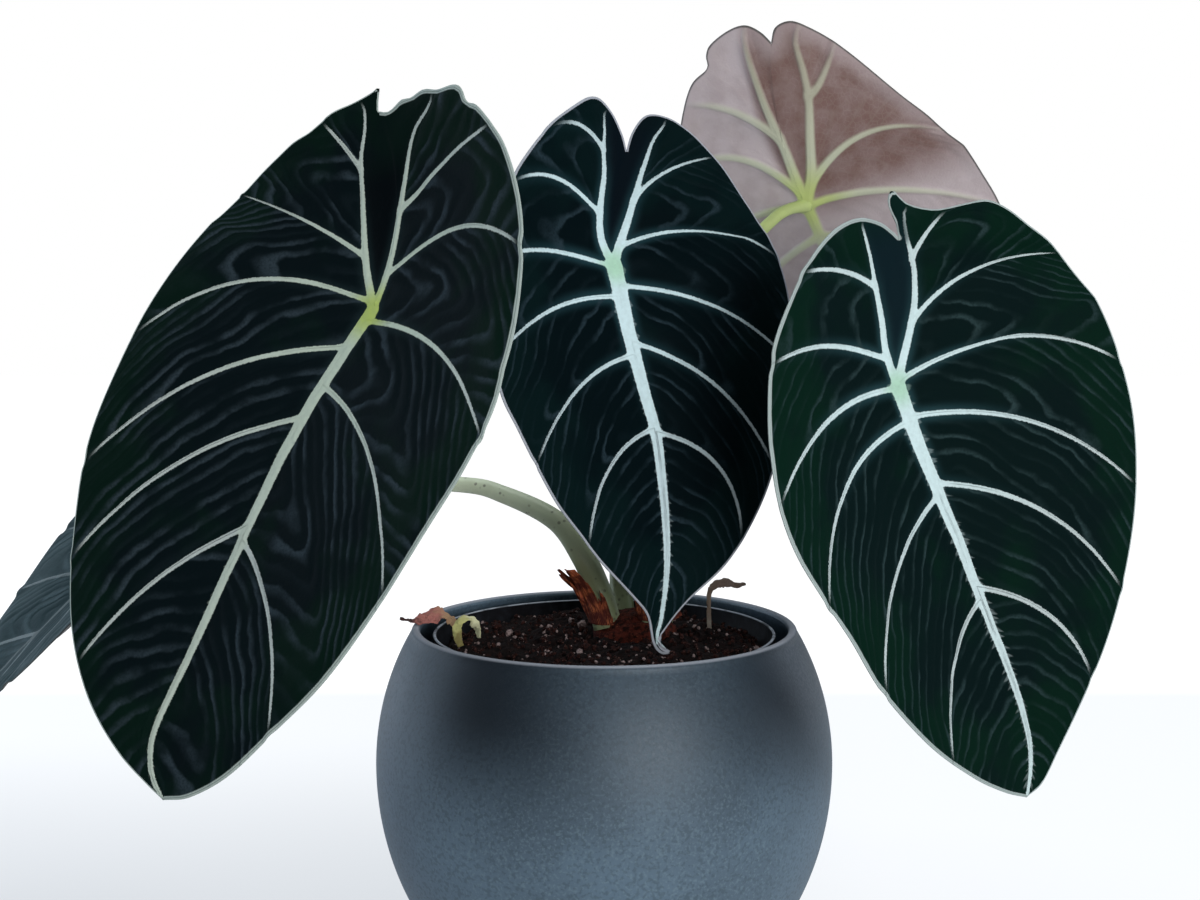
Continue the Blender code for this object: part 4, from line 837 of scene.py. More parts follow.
def blade(key, velvet, back):
    """One leaf blade: the quilted sheet with slightly raised ribs above, strong
    ribs below and a thin rounded rim."""
    leaf, dress = LEAVES[key], DRESS[key]
    points, faces = blade_sheet(leaf)
    u, v, puff, phase, run, lane = points.T
    vein, fringe = rib_field(leaf, dress, points[:, :2])
    edge, half = margin_field(leaf, points[:, :2])
    hub = np.hypot(u, v)

    roll = (1 - ramp(edge, RIM_ROLL[0])) ** 2
    level = ramp(edge, RIB_LEVEL)
    rib, rib_round = RIB_ABOVE
    dimple, size, span = DIMPLES
    high = puff * smooth(ramp(vein, BESIDE_RIB)) - RIM_ROLL[1] * roll
    high += rib * level * (1 - np.exp(-(np.clip(-vein, 0, None) / rib_round) ** 2))
    high += dimple * value_noise(u, v, size, seed=21) * ramp(edge, span)

    rib, rib_round = RIB_BELOW
    swell = np.clip(RIB_SKIRT - vein, 0, None)
    thick = BLADE_T + (EDGE_T - BLADE_T) * roll + rib * level * swell / (swell + rib_round)
    thick += HUB_BELOW[0] * np.exp(-(hub / HUB_BELOW[1]) ** 2)

    p, n = blade_point(leaf, u, v), blade_normal(leaf, u, v)
    body, faces, kind = shell(p + high[:, None] * n, p + (high - thick)[:, None] * n, faces)
    fields = on_both(vein=vein, fringe=fringe, edge=edge, rim=np.array(dress["rim"])[half], hub=hub,
                     phase=phase, run=run, lane=lane, u=u, v=v)
    return new_piece(f"leaf_{key}", body, faces, [velvet, back], "leaf", [f"blade_{key}"],
                     look=kind == 1, fields=fields)


# Stalks and crown

def petiole_path(key):
    """Even points, in mm, of a petiole from its foot to the underside of its blade."""
    leaf, stalk = LEAVES[key], PETIOLES[key]
    hub = np.array(leaf["hub"])
    face = blade_axes(leaf)[2]
    foot = np.array([CROWN[0] + stalk["foot"][0], CROWN[1] + stalk["foot"][1], CROWN_TOP - SOCKET_DEPTH])
    rise = unit(np.array([*stalk["rise"], 1.0]))
    points = [foot, foot + rise * STALK_START * SOCKET_DEPTH, *np.array(stalk["via"])]
    points += [hub - face * stalk["stand"] + stalk["slant"], hub - face * BLADE_T]
    return evenly(catmull(points, 480), STALK_STEPS)


def tube(path, radius, sides, shape):
    """Points and triangles of a bar along a path: a ring of sides at each point,
    square to the path, with closed ends.  shape scales the radius by place and angle."""
    along = unit(np.gradient(path, axis=0))
    across = unit(np.cross(along, (0.0, 1.0, 0.0)))
    other = np.cross(along, across)
    x, y, a = circles(radius, sides)
    grow = shape(np.linspace(0, 1, len(path))[:, None], a)
    rings = path[:, None] + (grow * x)[..., None] * across[:, None] + (grow * y)[..., None] * other[:, None]
    rings = np.concatenate([0 * rings[:1] + path[0], rings, 0 * rings[:1] + path[-1]])
    return ringed(rings, inside_out=True)


def petiole(key, mat):
    """A stalk: its radius falls from foot to hub by a power of the way left, has
    faint ribs along it and flares under its blade."""
    stalk = PETIOLES[key]
    path = petiole_path(key)
    left = np.linspace(1, 0, len(path))
    radius = stalk["hub_r"] + (stalk["foot_r"] - stalk["hub_r"]) * left ** stalk["slim"]
    length = np.linalg.norm(np.diff(path, axis=0), axis=1).sum()
    radius += STALK_FLARE * np.exp(-(left * length / STALK_FLARE_RUN) ** 2)

    def shape(place, angle):
        """Faint ribs along the stalk, and a slow unevenness."""
        return 1 + 0.018 * np.sin(9 * angle + 2 * place) + 0.02 * np.sin(23 * place + angle)

    points, faces = tube(path, radius, 28, shape)
    _, place = nearest(points, path[::3])
    return new_piece(f"stalk_{key}", points, faces, [mat], "petiole", [f"petiole_{key}"],
                     fields=dict(place=place))


def crown_height(share):
    """Height of the crown's dome at a share of its radius."""
    return CROWN_TOP + np.interp(share, *np.array(CROWN_PROFILE).T)


def crown(mat):
    """The rhizome's head: a dome on a short cylinder, with ring scars and knobs."""
    share = np.linspace(0, 1, 40)
    radius = np.r_[share * CROWN_R, np.full(10, CROWN_R), np.linspace(CROWN_R, 0, 8)]
    wall = np.linspace(CROWN_TOP - CROWN_WALL, CROWN_BASE, 10)
    x, y, a = circles(radius, 72)
    z = np.r_[crown_height(share), wall, np.full(8, CROWN_BASE)][:, None] + 0 * x
    bump = (0.7 * value_noise(x + 50, y + z, size=3.4, seed=31)
            + 0.35 * value_noise(x + z, y, size=1.3, seed=32))
    bump += 0.3 * np.sin(2.4 * z + 1.5 * np.sin(a * 2))
    grow = 1 + bump / CROWN_R * ramp(np.hypot(x, y), 4.0)
    rings = np.stack([x * grow + CROWN[0], y * grow + CROWN[1], z + 0.5 * bump], -1)
    return new_piece("rhizome_head", *ringed(rings, inside_out=True), [mat], "rhizome", ["crown"])


# Pots and mix

def turned(profile, steps):
    """Points and triangles of a turned shape.  The profile (radius, z) runs from the
    axis inside, over the rim and down to the axis below."""
    x, y, _ = circles(profile[:, 0], steps)
    return ringed(np.stack([x, y, profile[:, 1:] + 0 * x], -1))


def pot_radius(z):
    """Radius of the cover pot's outside at height z: one half ellipse above the
    equator and a longer one below."""
    half = np.where(z > POT_EQUATOR, POT_UP, POT_DOWN)
    return POT_R * np.sqrt(1 - ((z - POT_EQUATOR) / half) ** 2)


def arc(centre, radius, first, last, count):
    """Points of an arc in a profile, angles in degrees."""
    a = np.radians(np.linspace(first, last, count))
    return np.stack([centre[0] + radius * np.cos(a), centre[1] + radius * np.sin(a)], -1)


def cover_pot(mat):
    """Round pot with a flat foot, an even wall and a rounded lip."""
    lip = POT_WALL / 2
    lip_z = POT_TOP - lip
    bend_z = POT_FLOOR + FLOOR_BEND
    z_in = np.linspace(bend_z, lip_z, 40)
    inside = np.stack([pot_radius(z_in) - POT_WALL, z_in], -1)
    floor_r = float(pot_radius(bend_z)) - POT_WALL
    floor = np.vstack([[0, POT_FLOOR], [floor_r * 0.6, POT_FLOOR],
                       arc((floor_r - FLOOR_BEND, bend_z), FLOOR_BEND, -90, -12, 8)])
    rim = arc((float(pot_radius(lip_z)) - lip, lip_z), lip, 170, 10, 12)
    z_out = np.linspace(lip_z, 2 * POT_FOOT, 90)
    outside = np.stack([pot_radius(z_out), z_out], -1)
    foot_r = float(pot_radius(POT_FOOT)) - POT_FOOT
    foot = np.vstack([arc((foot_r, POT_FOOT), POT_FOOT, -8, -90, 6), [foot_r * 0.5, 0], [0, 0]])
    points, faces = turned(np.vstack([floor, inside, rim, outside, foot]), 256)
    return new_piece("round_cover_pot", points, faces, [mat], "cover_pot", ["cover_pot"])


def nursery_pot(mat):
    """Thin tapered grow pot with a rim band, seen as a dark ring inside the cover pot."""
    r0, r1, w, rim = INNER_R_BASE, INNER_R_TOP, INNER_WALL, INNER_RIM_R
    base, band = INNER_BASE, INNER_TOP - INNER_BAND
    floor = base + INNER_FLOOR
    profile = np.vstack([
        [0, floor], [r0 - 2 * w, floor], arc((r0 - 2 * w, floor + w), w, -90, -5, 5),
        [r1 - w, band], [rim - w, band + 1.5], arc((rim - w / 2, INNER_TOP - w / 2), w / 2, 180, 0, 9),
        [rim, band + 0.8], [rim - 0.3, band + 0.1], [r1 + 0.1, band],
        arc((r0 - 0.7 * w, base + w), w, 0, -90, 6), [0, base]])
    points, faces = turned(profile, 192)
    return new_piece("grow_pot", points, faces, [mat], "nursery_pot", ["nursery_pot"])


def soil_height(x, y):
    """Height of the mix at x, y in mm: a few crossed waves, with lumps and crumbs."""
    waves = (0.5 * np.sin(0.31 * x + 0.11 * y) + 0.35 * np.sin(0.19 * y - 0.27 * x + 1.0)
             + 0.3 * np.sin(0.43 * y + 0.37 * x + 2.2) + 0.25 * np.sin(0.61 * x - 0.52 * y))
    crumbs = 0.75 * value_noise(x, y, size=2.6, seed=41) + 0.45 * value_noise(x, y, size=1.1, seed=42)
    return SOIL_TOP + SOIL_RELIEF * waves + crumbs


def soil_rim(r):
    """How far the mix has sunk towards its edge at radius r, from 0 to 1."""
    return ramp(r - SOIL_EDGE + SOIL_RIM, SOIL_RIM) ** 2


def soil(mat):
    """The potting mix: a plug that fills the grow pot, lumpy on top and a little
    lower along its edge."""
    r = np.r_[np.linspace(0, SOIL_EDGE, 110), SOIL_EDGE + 0.2, INNER_R_BASE - 2.6, 0]
    x, y, _ = circles(r, 220)
    z = soil_height(x, y) - SOIL_SUNK * soil_rim(r)[:, None]
    z[-3], z[-2], z[-1] = SOIL_TOP - 6, SOIL_LOW, SOIL_LOW
    points, faces = ringed(np.stack([x, y, z], -1))
    return new_piece("potting_mix", points, faces, [mat], "soil", ["soil"])


def turned_at_random(rng, count):
    """Random rotation matrices, from random unit quaternions."""
    q = rng.normal(size=(count, 4))
    w, x, y, z = (q / np.linalg.norm(q, axis=1)[:, None]).T
    return np.stack([np.stack([1 - 2 * (y * y + z * z), 2 * (x * y - z * w), 2 * (x * z + y * w)], -1),
                     np.stack([2 * (x * y + z * w), 1 - 2 * (x * x + z * z), 2 * (y * z - x * w)], -1),
                     np.stack([2 * (x * z - y * w), 2 * (y * z + x * w), 1 - 2 * (x * x + y * y)], -1)], 1)


def grains(name, rng, count, size, stretch, sink, mat):
    """Angular grains strewn over the mix: a dented ball of few faces, stretched,
    turned at random and sunk into the surface."""
    rings, sides = 4, 6
    h = np.linspace(0, np.pi, rings + 1)[:, None]
    a = 2 * np.pi * np.arange(sides) / sides + 0.4 * h
    ball = np.stack([np.sin(h) * np.cos(a), np.sin(h) * np.sin(a), np.cos(h) + 0 * a], -1)
    ball, faces = ringed(ball, inside_out=True)
    radius = rng.uniform(*size, count) / 2
    axes = radius[:, None] * rng.uniform(*stretch, (count, 3))
    solid = ball * axes[:, None] * (1 + rng.uniform(-GRAIN_DENT, GRAIN_DENT, (count, len(ball), 1)))
    solid = np.einsum("nij,nvj->nvi", turned_at_random(rng, count), solid)
    far = SOIL_EDGE * 0.985 * np.sqrt(rng.uniform(0, 1, count))
    way = rng.uniform(0, 2 * np.pi, count)
    x, y = far * np.cos(way), far * np.sin(way)
    away = np.hypot(x - CROWN[0], y - CROWN[1]) > CROWN_R
    z = soil_height(x, y) - GRAINS_SUNK * soil_rim(far) + radius * sink
    solid = (solid + np.stack([x, y, z], -1)[:, None])[away]
    number = len(ball) * np.arange(len(solid))[:, None, None] + faces
    return new_piece(name, solid.reshape(-1, 3), number.reshape(-1, 3), [mat], "soil", [])


# Dried remains

def sheath(key, mat):
    """A torn papery sheath round a stalk's foot: the radius grows with the square of
    the height, the rim is torn into bell-shaped tongues and the paper is crinkled."""
    data = SHEATHS[key]
    path = petiole_path(data["stalk"])
    first, last = np.radians(data["arc"])
    u = np.linspace(0, 1, 150)[:, None]
    v = np.linspace(0, 1, 34)
    angle = first + (last - first) * u
    around = ROUND_SHEATH * u
    torn = sum(deep * value_noise(around, 0 * u, size, seed) for deep, size, seed in SHEATH_TEARS)
    bells = [high * np.exp(-np.abs((u - place) / wide) ** 3) for place, wide, high in data["tongues"]]
    top = data["height"] * np.clip(np.max(bells, axis=0) + torn + 0.1, 0.1, 1.0)
    out = PETIOLES[data["stalk"]]["foot_r"] + SHEATH_GAP + 0.6 * v
    out = out + data["flare"] * (v * top / data["height"]) ** 2
    for deep, scale, size, seed in SHEATH_CRINKLES:
        out += deep * v * value_noise(around, scale * v, size, seed)
    away = np.stack([np.cos(angle), np.sin(angle), 0 * angle], -1)
    aside = out[..., None] * away[..., :2]
    at_foot = path[0, :2] - np.array(CROWN) + aside[:, 0]
    low = crown_height(np.hypot(*at_foot.T) / CROWN_R).max() - SHEATH_SUNK
    z = low + v * top
    grid = np.concatenate([looked_up(z, path[:, 2], path[:, :2]) + aside, z[..., None]], -1)
    outer, inner = (grid + SHEATH_T * away).reshape(-1, 3), grid.reshape(-1, 3)
    points, faces, _ = shell(outer, inner, grid_faces(*z.shape)[:, ::-1])
    return new_piece(f"sheath_{key}", points, faces, [mat], "sheath", [f"dry_sheath_{key}"],
                     fields=on_both(place=v + 0 * u, round=u + 0 * v))


def scrap(key, mat):
    """A dried strip: a thin lens section carried along a smooth path, crimped across
    by a wave and crumpled by noise, with torn sides."""
    data = SCRAPS[key]
    rows = evenly(catmull(np.column_stack([data["path"], data["half"]]), 300), 90)
    path, half = rows[:, :3], rows[:, 3:]
    along = unit(np.gradient(path, axis=0))
    across = unit(np.cross(data["face"], along))
    up = np.cross(along, across)
    w = np.linspace(-1, 1, 17)
    ring = np.arange(len(path))[:, None]
    wide = w * half * (1 + 0.16 * value_noise(ring * 0.9, 3 * np.sign(w), size=1.7, seed=61))
    lift = data["crimp"] * np.sin(SCRAP_WAVES * ring) * (wide / half.max()) ** 2
    lift += data["crumple"] * value_noise(ring * 0.5, wide * 2.0, size=1.6, seed=62)
    mid = path[:, None] + wide[..., None] * across[:, None] + lift[..., None] * up[:, None]
    thick = SCRAP_T * (1 - 0.6 * w ** 2)[:, None] * up[:, None]
    upper, lower = (mid + thick).reshape(-1, 3), (mid - thick).reshape(-1, 3)
    points, faces, _ = shell(upper, lower, grid_faces(*wide.shape)[:, ::-1])
    return new_piece(f"{key}_dried", points, faces, [mat], data["slot"], [key],
                     fields=on_both(place=ring / ring.max() + 0 * w))


# Materials

class Nodes:
    """Short calls to add nodes to a tree; a value is a socket or a plain number."""

    def __init__(self, tree):
        self.tree = tree

    def put(self, kind, values=None, **settings):
        """A node with its settings and its inputs, by name or number."""
        node = self.tree.nodes.new("ShaderNode" + kind)
        for key, value in settings.items():
            setattr(node, key, value)
        self.feed(node.inputs, values or {})
        return node

    def feed(self, sockets, values):
        """Values given to sockets, by name or number."""
        for key, value in values.items():
            self.join(value, sockets[key])

    def join(self, value, socket):
        """A link from a socket, or a plain value."""
        if isinstance(value, bpy.types.NodeSocket):
            self.tree.links.new(value, socket)
        elif isinstance(value, tuple) and len(value) == 3 and socket.type == "RGBA":
            socket.default_value = (*value, 1.0)
        else:
            socket.default_value = value

    def math(self, operation, *values):
        """The result of one sum."""
        return self.put("Math", dict(enumerate(values)), operation=operation).outputs[0]

    def times(self, first, *others):
        """The product of values."""
        for other in others:
            first = self.math("MULTIPLY", first, other)
        return first

    def field(self, name):
        """A value stored on the mesh."""
        return self.put("Attribute", attribute_name=name).outputs["Fac"]

    def step(self, value, low, high, first=0.0, last=1.0):
        """A smooth step from first to last as the value goes from low to high."""
        values = {"Value": value, "From Min": low, "From Max": high, "To Min": first, "To Max": last}
        return self.put("MapRange", values, interpolation_type="SMOOTHSTEP").outputs["Result"]

    def mix(self, share, a, b):
        """Two colours mixed."""
        return self.put("Mix", {0: share, 6: a, 7: b}, data_type="RGBA").outputs[2]

    def place(self):
        """The point on the object, in metres."""
        return self.put("TexCoord").outputs["Object"]

    def axis(self, number):
        """The point's x, y or z in mm, by number."""
        return self.math("DIVIDE", self.put("SeparateXYZ", {0: self.place()}).outputs[number], MM)

    def sheet_place(self, across, wide, along, long):
        """A point for noise that follows the surface: two fields, scaled."""
        values = {0: self.times(self.field(across), wide), 1: self.times(self.field(along), long)}
        return self.put("CombineXYZ", values).outputs[0]

    def noise(self, size, detail=2.0, rough=0.5, where=None):
        """Noise with features of a size in mm."""
        values = {"Vector": where or self.place(), "Scale": 1 / (size * MM), "Detail": detail,
                  "Roughness": rough}
        return self.put("TexNoise", values).outputs["Fac"]

    def stray(self, size, detail, reach):
        """Noise that strays to both sides of 0, over a reach in all."""
        return self.times(self.math("SUBTRACT", self.noise(size, detail), 0.5), reach)

    def cells(self, size, feature="F1"):
        """Distances in cells of a size in mm."""
        values = {"Vector": self.place(), "Scale": 1 / (size * MM)}
        return self.put("TexVoronoi", values, feature=feature).outputs["Distance"]

    def bump(self, height, depth, normal=None):
        """A normal from a height from 0 to 1, as deep as depth in mm."""
        values = {"Height": height, "Distance": depth * MM, "Strength": 1.0}
        if normal is not None:
            values["Normal"] = normal
        return self.put("Bump", values).outputs["Normal"]


def node_group(name, inputs, outputs):
    """An empty shader group from its sockets' names by kind: the group, its node
    helper, and what it is given and gives out."""
    tree = bpy.data.node_groups.new(name, "ShaderNodeTree")
    for way, kinds in (("INPUT", inputs), ("OUTPUT", outputs)):
        for kind, names in kinds.items():
            for socket in names:
                tree.interface.new_socket(socket, in_out=way, socket_type="NodeSocket" + kind)
    given, out = (tree.nodes.new(kind) for kind in ("NodeGroupInput", "NodeGroupOutput"))
    return tree, Nodes(tree), given.outputs, out.inputs


def material(name, roughness=0.5, specular=0.5):
    """A material with one Principled shader: its node helper and the shader's inputs."""
    mat = bpy.data.materials.new(name)
    mat.use_nodes = True
    shader = mat.node_tree.nodes["Principled BSDF"]
    shader.inputs["Roughness"].default_value = roughness
    shader.inputs["Specular IOR Level"].default_value = specular
    return mat, Nodes(mat.node_tree), shader.inputs


def dressed(mat, n, shader, group, values):
    """The material with a shader group in it: each input of the group takes the value
    of its own name, and each output goes to the shader."""
    face = n.put("Group", node_tree=group)
    for socket in face.inputs:
        n.join(values[socket.name.lower().replace(" ", "_")], socket)
    n.feed(shader, {socket.name: socket for socket in face.outputs})
    return mat


def velvet_group():
    """Upper face of a blade: dark ground with a green or blue cast in patches, side
    lines with one sharp and one soft side, partly paler veining and partly painted sheen
    on one flank of each ridge, pale ribs with ragged edges that turn green at the hub,
    pale strokes beside the midrib, and a pale rim."""
    tree, n, given, out = node_group(
        "velvet_face",
        dict(Color=("Ground", "Cast", "Streak", "Rib", "Rib End", "Hub", "Rim Colour", "Halo", "Cleft"),
             Float=("Line", "Soft", "Fringe", "Hub Reach")),
        dict(Color=("Base Color",), Float=("Roughness",), Vector=("Normal",)))
    vein, edge, hub, fringe, lane, rim_width = (
        n.field(name) for name in ("vein", "edge", "hub", "fringe", "lane", "rim"))
    # Side lines, each with its own strength: paler veining with painted sheen on one flank of each ridge
    count = n.math("ADD", n.field("phase"), n.stray(4.0, 2.0, 0.3))
    saw = n.math("FRACT", count)
    crest = n.times(given["Soft"], 0.28)
    each = n.put("TexWhiteNoise", {"W": n.math("FLOOR", count)}, noise_dimensions="1D").outputs["Value"]
    inner = n.step(lane, 2.0, 25.0, 1.0, 0.0)
    line = n.times(n.step(saw, 0.0, crest), n.step(saw, crest, given["Soft"], 1.0, 0.0),
                   n.step(n.noise(15.0, 3.0), 0.36, 0.62, 0.1, 1.0), n.step(each, 0.1, 0.9, 0.1, 1.0),
                   n.step(n.noise(0.8, 3.0), 0.3, 0.6, 0.6, 1.0), n.math("SUBTRACT", 1.0, inner))
    # Ground
    outward = n.math("ADD", n.noise(26.0, 3.0), n.step(edge, 4.0, 34.0, 0.16, -0.12))
    ground = n.mix(n.step(outward, 0.42, 0.68), given["Ground"], given["Cast"])
    ground = n.mix(n.times(inner, n.step(hub, 46.0, 64.0, 1.0, 0.3)), ground, given["Cleft"])
    halo = n.times(n.step(vein, 0.0, 4.5, 1.0, 0.0), n.step(hub, 8.0, 70.0, 1.0, 0.15))
    ground = n.mix(n.times(halo, halo), ground, given["Halo"])
    # The side lines' colour: painted sheen over paler veining
    ground = n.mix(n.times(line, given["Line"]), ground, given["Streak"])
    # Ribs and the strokes beside the midrib
    fade = n.times(n.step(hub, 10.0, 85.0), n.step(fringe, 0.0, 3.0, 0.35, 1.0))
    rib = n.mix(fade, given["Rib"], given["Rib End"])
    rib = n.mix(n.step(n.math("DIVIDE", hub, given["Hub Reach"]), 0.15, 1.0, 1.0, 0.0), rib, given["Hub"])
    rib = n.mix(n.step(n.noise(1.6, 3.0), 0.3, 0.75, 0.0, 0.3), rib, n.mix(0.5, rib, (0.18, 0.24, 0.22)))
    across = n.sheet_place("lane", 0.001, "run", 0.00012)
    reach = n.math("SUBTRACT", n.times(n.noise(1.4, 1.0, where=across), 2.0),
                   n.math("DIVIDE", fringe, given["Fringe"]))
    strokes = n.times(n.step(reach, 0.85, 1.15), n.step(lane, 150.0, 190.0))
    colour = n.mix(n.times(strokes, 0.18), ground, rib)
    on_rib = n.step(n.math("ADD", vein, n.stray(0.6, 3.0, 0.7)), -0.15, 0.2, 1.0, 0.0)
    ends = n.math("MAXIMUM", n.step(edge, 0.8, 6.0), n.step(fringe, 0.0, 0.5, 1.0, 0.0))
    colour = n.mix(n.times(on_rib, ends), colour, rib)
    # Rim
    share = n.math("DIVIDE", edge, rim_width)
    dark_line = n.step(n.math("ABSOLUTE", n.math("SUBTRACT", share, 0.5)), 0.05, 0.16, 1.0, 0.0)
    dark_line = n.times(dark_line, n.step(rim_width, 0.8, 1.4), 0.6)
    rim = n.mix(dark_line, given["Rim Colour"], (0.06, 0.08, 0.07))
    colour = n.mix(n.step(share, 0.75, 1.1, 1.0, 0.0), colour, rim)
    pile = n.bump(line, 0.2, n.bump(n.noise(0.35, 2.0), 0.05))
    n.feed(out, {"Base Color": colour, "Roughness": n.mix(on_rib, (0.6, 0.6, 0.6), (0.5, 0.5, 0.5)),
                 "Normal": n.bump(n.noise(1.8, 3.0), 0.2, pile)})
    return tree


def back_group():
    """Underside of a blade: a dull ground, a darker patch between the rear ribs and
    on one side, soft paler ribs that fade outward and a green hub."""
    tree, n, given, out = node_group("blade_back", dict(Color=("Ground", "Patch", "Rib", "Hub")),
                                     dict(Color=("Base Color",), Vector=("Normal",)))
    vein, edge, hub, v = (n.field(name) for name in ("vein", "edge", "hub", "v"))
    beyond = n.math("ADD", n.field("u"), n.times(v, 0.28))
    place = n.times(n.step(beyond, -2.0, 5.0, 1.0, 0.0), n.step(v, -8.0, 18.0, 1.0, 0.0))
    blotch = n.step(n.noise(9.0, 4.0), 0.36, 0.66)
    patch = n.math("MAXIMUM", n.times(place, n.math("ADD", 0.86, n.times(blotch, 0.14))),
                   n.times(blotch, 0.20))
    patch = n.times(n.step(edge, 1.0, 9.0, 0.6, 1.0), patch)
    colour = n.mix(patch, given["Ground"], given["Patch"])
    crease = n.math("PINGPONG", n.math("ADD", n.field("phase"), n.times(n.noise(5.0), 0.3)), 0.5)
    net = n.times(n.step(n.cells(2.2, "DISTANCE_TO_EDGE"), 0.0, 0.12, 1.0, 0.0), 0.15)
    lines = n.math("MAXIMUM", net, n.step(crease, 0.02, 0.14, 0.15, 0.0))
    colour = n.mix(n.times(lines, 0.35), colour, n.mix(0.6, given["Ground"], given["Rib"]))
    rib = n.mix(n.step(hub, 4.0, 22.0, 1.0, 0.0), given["Rib"], given["Hub"])
    on_rib = n.times(n.step(vein, -0.6, 0.9, 1.0, 0.0), n.step(hub, 15.0, 65.0, 0.9, 0.45))
    colour = n.mix(n.times(on_rib, n.step(edge, 1.0, 12.0, 0.2, 1.0)), colour, rib)
    colour = n.mix(n.step(edge, 0.3, 0.9, 0.8, 0.0), colour, (0.03, 0.035, 0.03))
    n.feed(out, {"Base Color": colour, "Normal": n.bump(n.math("ADD", lines, n.noise(0.9, 2.0)), 0.12)})
    return tree


def skin_group():
    """Fleshy stalk: one colour below and another above, faint streaks and dark flecks."""
    tree, n, given, out = node_group("stalk_skin", dict(Color=("Low", "High", "Fleck"), Float=("Flecks",)),
                                     dict(Color=("Base Color",), Vector=("Normal",)))
    colour = n.mix(n.step(n.field("place"), 0.05, 0.45), given["Low"], given["High"])
    pale = n.mix(0.5, colour, (0.30, 0.33, 0.22))
    colour = n.mix(n.step(n.noise(7.0, 3.0), 0.35, 0.7, 0.0, 0.35), colour, pale)
    spots = n.times(n.step(n.cells(2.6), 0.16, 0.30, 1.0, 0.0), n.step(n.noise(9.0), 0.46, 0.56))
    colour = n.mix(n.times(spots, given["Flecks"]), colour, given["Fleck"])
    n.feed(out, {"Base Color": colour, "Normal": n.bump(n.noise(1.2, 3.0), 0.12)})
    return tree


def slate_glaze():
    """Satin slate stoneware: a blue-grey body in slow clouds, darker at the shoulder with
    painted shade and painted reflection of the leaves hanging beside it, with fine pale and
    green-blue specks and a pale line on the lip that is a painted highlight."""
    mat, n, shader = material("slate_stoneware", specular=0.42)
    body = n.mix(n.step(n.noise(38.0, 3.0), 0.36, 0.66), (0.070, 0.106, 0.143), (0.088, 0.136, 0.184))
    body = n.mix(n.step(n.noise(0.9, 2.0), 0.50, 0.66, 0.0, 0.6), body, (0.125, 0.185, 0.225))
    body = n.mix(n.step(n.noise(1.3, 1.0), 0.36, 0.50, 0.5, 0.0), body, (0.044, 0.070, 0.090))
    # Painted shade and painted reflection of the leaves that hang to either side: darkest under the lip left
    # and right of the front, fading towards the back.
    x, y, z = (n.axis(number) for number in (0, 1, 2))
    aside = n.math("ABSOLUTE", n.math("SUBTRACT", x, 12.0))
    shade = n.times(n.step(z, 62.0, 114.0), n.step(aside, 4.0, 50.0, 0.62, 1.0),
                    n.step(aside, 50.0, 94.0, 1.0, 0.2), n.step(y, -35.0, 30.0, 1.0, 0.3))
    body = n.mix(shade, body, (0.004, 0.008, 0.013))
    # Painted highlight along the top of the rounded lip.
    body = n.mix(n.step(z, POT_TOP - 0.9, POT_TOP - 0.1, 0.0, 0.8), body, (0.30, 0.32, 0.36))
    n.feed(shader, {"Base Color": body, "Specular Tint": (0.84, 0.93, 1.0),
                    "Roughness": n.step(n.noise(0.9, 2.0), 0.3, 0.7, 0.46, 0.56),
                    "Normal": n.bump(n.noise(0.8, 3.0), 0.04)})
    return mat


def black_plastic():
    """Dull black plastic, with a painted highlight along the top of its rim, broken in places."""
    mat, n, shader = material("black_plastic", roughness=0.7, specular=0.08)
    colour = n.mix(n.step(n.noise(4.0, 4.0), 0.4, 0.7), (0.003, 0.003, 0.004), (0.008, 0.009, 0.012))
    # Painted highlight along the top of the rim, broken in places by noise.
    rim_highlight = n.times(n.step(n.axis(2), INNER_TOP - 0.5, INNER_TOP - 0.1),
                   n.step(n.noise(6.0), 0.35, 0.5, 0.4, 1.0))
    n.feed(shader, {"Base Color": n.mix(rim_highlight, colour, (0.30, 0.33, 0.37)),
                    "Normal": n.bump(n.noise(1.0, 3.0), 0.05)})
    return mat


def crumbs_group():
    """Earthy or barky stuff in three tones, with a grain: Size is in mm, and Depth,
    how deep the grain goes, in metres."""
    tree, n, given, out = node_group("crumbs", dict(Color=("Dark", "Mid", "Pale"), Float=("Size", "Depth")),
                                     dict(Color=("Base Color",), Vector=("Normal",)))
    share = n.math("DIVIDE", 1.0, given["Size"])
    where = n.put("VectorMath", {0: n.place(), "Scale": share}, operation="SCALE").outputs[0]
    colour = n.mix(n.step(n.noise(1.0, 4.0, where=where), 0.38, 0.6), given["Dark"], given["Mid"])
    colour = n.mix(n.step(n.noise(0.45, 3.0, where=where), 0.6, 0.72), colour, given["Pale"])
    grain = {"Height": n.noise(0.5, 4.0, 0.65, where=where), "Distance": given["Depth"], "Strength": 1.0}
    n.feed(out, {"Base Color": colour, "Normal": n.put("Bump", grain).outputs["Normal"]})
    return tree


def old_sheath():
    """Dry torn paper of old leaf bases: fibres up the sheet, darker at the foot."""
    mat, n, shader = material("old_sheath", roughness=0.75, specular=0.2)
    low, high, streak = (0.050, 0.007, 0.006), (0.27, 0.060, 0.024), (0.44, 0.13, 0.048)
    streaks = n.noise(0.8, 4.0, 0.6, where=n.sheet_place("round", 0.05, "place", 0.004))
    colour = n.mix(n.step(n.field("place"), 0.0, 1.0), low, high)
    colour = n.mix(n.step(streaks, 0.45, 0.65), colour, streak)
    colour = n.mix(n.step(n.noise(3.4, 3.0), 0.40, 0.60, 0.0, 0.85), colour, low)
    n.feed(shader, {"Base Color": colour, "Normal": n.bump(streaks, 0.25)})
    return mat


